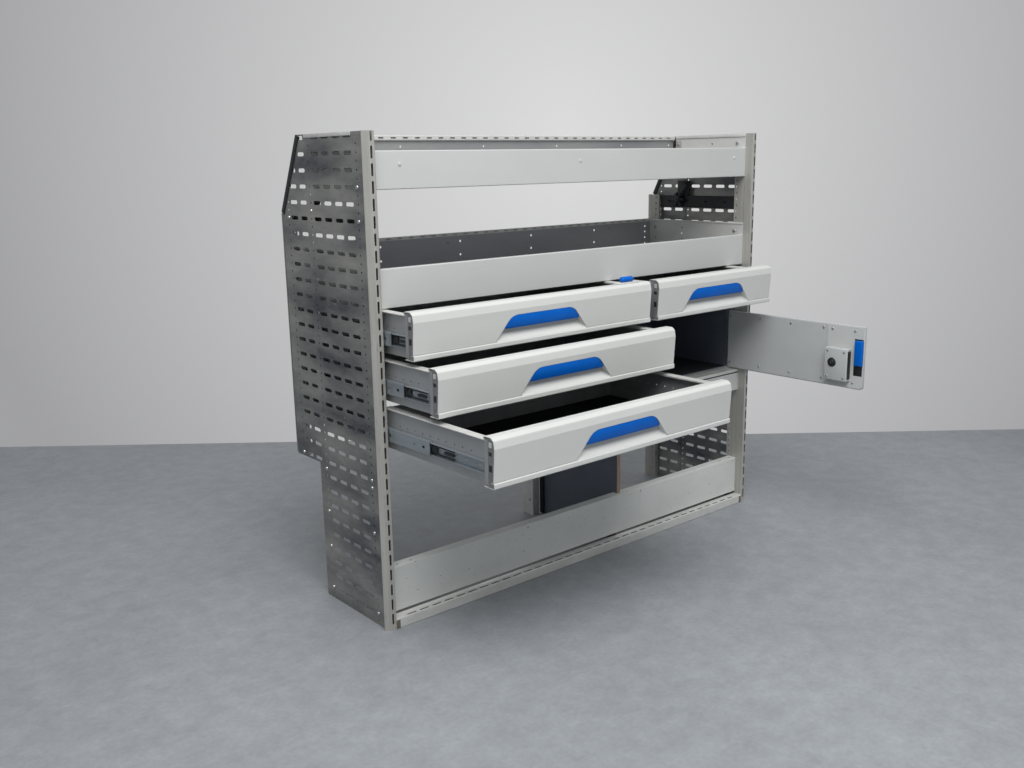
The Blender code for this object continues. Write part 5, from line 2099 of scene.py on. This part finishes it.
@dataclass
class Extras:
    """Small pieces that sit on the racking: the blue knob and the slide mounts' finish."""

    knob_span: float = 0.911
    knob_depth: float = 0.030
    base_half: Point = (0.050, 0.013)
    base_height: float = 0.0045
    button_half: Point = (0.0285, 0.0105)
    button_height: float = 0.0225

    def build(self) -> None:
        """Dresses the slide mounts and adds the knob on the top left drawer."""
        ends = [side.word for side in Side]
        for column in ends:
            for end in ends:
                refinish(f"{column}_column_slide_mount_{end}", ZINC_SLIDE)
        low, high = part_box("drawer_top_left_front")
        seat = Vector((self.knob_span - HALF, low.y + self.knob_depth, high.z))
        near = seat - Vector((*self.base_half, 0.0002))
        far = seat + Vector((*self.base_half, self.base_height))
        add_piece("knob_base", rounded_block(near, far, 0.0015), FRONT_PLASTIC, "drawer_top_left")
        near = seat + Vector((-self.button_half[0], -self.button_half[1], self.base_height))
        far = seat + Vector((*self.button_half, self.button_height))
        button = rounded_block(near, far, 0.0085, 4)
        add_piece("knob_button", button, BLUE_PLASTIC, "drawer_top_left")


@dataclass
class Studio:
    """Floor, backdrop, lamp and camera; none of it is part of the racking."""

    floor_colour: str = "#8f9397"
    floor_half: float = 14.0
    wall_light: str = "#dcdcdc"
    wall_dark: str = "#a0a0a3"
    wall_half: float = 8.0
    wall_distance: float = 1.56
    wall_middle: float = 4.0
    glow_reach: float = 3.0
    glow_height: float = 1.5
    surround_colour: str = "#e6e8ea"
    surround_strength: float = 0.55
    lamp_at: tuple[float, float, float] = (-1.2, -2.0, 4.1)
    lamp_aim: tuple[float, float, float] = (0.0, -0.2, 0.7)
    lamp_size: float = 3.0
    lamp_power: float = 190.0
    yaw: float = 0.6984
    pitch: float = 0.2213
    roll: float = -0.0175
    lens: float = 34.83
    eye: tuple[float, float, float] = (-2.3598, -2.3842, 1.3878)

    def build(self) -> None:
        """Builds the whole studio."""
        self.build_floor()
        self.build_world()
        self.build_lamp()
        self.build_camera()

    def link(self, name: str, data: bpy.types.ID) -> bpy.types.Object:
        """A new object of the scene that holds some data."""
        item = bpy.data.objects.new(name, data)
        bpy.context.scene.collection.objects.link(item)
        return item

    def floor_paint(self) -> bpy.types.Material:
        """Matt sealed concrete with wide clouds and fine mottling.

        Returns:
            The material.
        """
        made = bpy.data.materials.new("sealed_concrete")
        made.use_nodes = True
        tree = made.node_tree
        shader = tree.nodes["Principled BSDF"]
        shader.inputs["Roughness"].default_value = 0.55
        place = add_node(tree, "ShaderNodeTexCoord").outputs["Object"]
        colour = linear_colour(self.floor_colour)[:3]
        for scale, spread in ((1.1, 0.10), (14.0, 0.10), (70.0, 0.07)):
            grain = {"Vector": place, "Scale": scale, "Detail": 6.0, "Roughness": 0.65}
            cloud = add_node(tree, "ShaderNodeTexNoise", grain).outputs["Fac"]
            limits = {"From Min": 0.3, "From Max": 0.7, "To Min": 1 + spread, "To Max": 1 - spread}
            limits["Value"] = cloud
            shade = add_node(tree, "ShaderNodeMapRange", limits).outputs["Result"]
            scaled = {0: colour, "Scale": shade}
            colour = add_node(tree, "ShaderNodeVectorMath", scaled, operation="SCALE").outputs[0]
        tree.links.new(colour, shader.inputs["Base Color"])
        return made

    def wall_glow(self) -> bpy.types.Material:
        """Backdrop that is only seen, from its front: an emitting wash with a painted pool of
        light, brightest behind the racking.

        Returns:
            The material.
        """
        made = bpy.data.materials.new("backdrop_wash")
        made.use_nodes = True
        tree = made.node_tree
        tree.nodes.clear()
        place = add_node(tree, "ShaderNodeTexCoord").outputs["Object"]
        middle = Vector((sin(self.yaw), cos(self.yaw), 0)) * self.wall_distance
        middle.z = self.glow_height
        shift = {
            "Vector": place,
            "Scale": (1 / self.glow_reach,) * 3,
            "Location": tuple(-middle / self.glow_reach),
        }
        drawn = {"Vector": add_node(tree, "ShaderNodeMapping", shift).outputs["Vector"]}
        # A spherical gradient paints a pool of light on the backdrop, brightest behind the racking.
        ball = add_node(tree, "ShaderNodeTexGradient", drawn, gradient_type="SPHERICAL")
        glow = ball.outputs["Fac"]
        layers = {0: glow, 6: linear_colour(self.wall_dark), 7: linear_colour(self.wall_light)}
        wash = add_node(tree, "ShaderNodeMix", layers, data_type="RGBA").outputs[2]
        lit = add_node(tree, "ShaderNodeEmission", {"Color": wash, "Strength": 1.0}).outputs[0]
        rays = add_node(tree, "ShaderNodeLightPath").outputs
        seen = rays["Is Camera Ray"]
        for name in ("Is Glossy Ray", "Is Transmission Ray"):
            either = {0: seen, 1: rays[name]}
            seen = add_node(tree, "ShaderNodeMath", either, operation="MAXIMUM").outputs[0]
        behind = add_node(tree, "ShaderNodeNewGeometry").outputs["Backfacing"]
        pair = {0: seen, 1: behind}
        front = add_node(tree, "ShaderNodeMath", pair, operation="SUBTRACT", use_clamp=True)
        shown = front.outputs[0]
        clear = add_node(tree, "ShaderNodeBsdfTransparent").outputs[0]
        mixed = add_node(tree, "ShaderNodeMixShader", {0: shown, 1: clear, 2: lit}).outputs[0]
        add_node(tree, "ShaderNodeOutputMaterial", {"Surface": mixed})
        return made

    def build_floor(self) -> None:
        """A wide floor and a one-sided backdrop behind the racking."""
        turn = Matrix.Rotation(pi / 2, 4, "X")
        away = Matrix.Translation((0, self.wall_distance, self.wall_middle))
        upright = Matrix.Rotation(-self.yaw, 4, "Z") @ away @ turn
        for name, paint, half, place in (
            ("studio_floor", self.floor_paint(), self.floor_half, Matrix.Identity(4)),
            ("studio_wall", self.wall_glow(), self.wall_half, upright),
        ):
            shape = bmesh.new()
            bmesh.ops.create_grid(shape, x_segments=1, y_segments=1, size=half, matrix=place)
            mesh = bpy.data.meshes.new(name)
            shape.to_mesh(mesh)
            shape.free()
            mesh.materials.append(paint)
            self.link(name, mesh)

    def build_world(self) -> None:
        """An even grey surround."""
        world = bpy.data.worlds.new("studio_surround")
        world.use_nodes = True
        sky = world.node_tree.nodes["Background"]
        sky.inputs["Color"].default_value = linear_colour(self.surround_colour)
        sky.inputs["Strength"].default_value = self.surround_strength
        bpy.context.scene.world = world

    def build_lamp(self) -> None:
        """A large soft key above the front, a little to the left."""
        data = bpy.data.lights.new("key_softbox", "AREA")
        data.size = self.lamp_size
        data.energy = self.lamp_power
        at = Vector(self.lamp_at)
        self.link("key_softbox", data).matrix_world = facing(at, at - Vector(self.lamp_aim))

    def build_camera(self) -> None:
        """The camera at the photograph's angle."""
        level = Vector((cos(self.yaw), -sin(self.yaw), 0))
        ahead = Vector((sin(self.yaw), cos(self.yaw), 0)) * cos(self.pitch)
        away = ahead - Vector((0, 0, sin(self.pitch)))
        right = level * cos(self.roll) + level.cross(away) * sin(self.roll)
        up = right.cross(away)
        data = bpy.data.cameras.new("camera")
        data.lens = self.lens
        data.sensor_width = 36.0
        data.clip_end = 60.0
        camera = self.link("camera", data)
        turn = Matrix((right, up, -away)).transposed().to_4x4()
        camera.matrix_world = Matrix.Translation(Vector(self.eye)) @ turn
        bpy.context.scene.camera = camera
        bpy.context.scene.view_settings.view_transform = "Standard"


def write_sizes() -> None:
    """Updates the view layer."""
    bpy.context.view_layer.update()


def main() -> None:
    """Builds every sub-assembly in order, then the studio."""
    logging.basicConfig(level=logging.INFO, format="%(message)s")
    drawers = ("top_left", "second", "third", "top_right")
    parts = [EndFrame(side) for side in Side]
    parts += [BottomRun(), Tiers(), MiddleBay()]
    parts += [Drawer("drawer_" + name) for name in drawers]
    parts += [Door(), Extras(), Studio()]
    for part in parts:
        part.build()
    write_sizes()


if __name__ == "__main__":
    main()
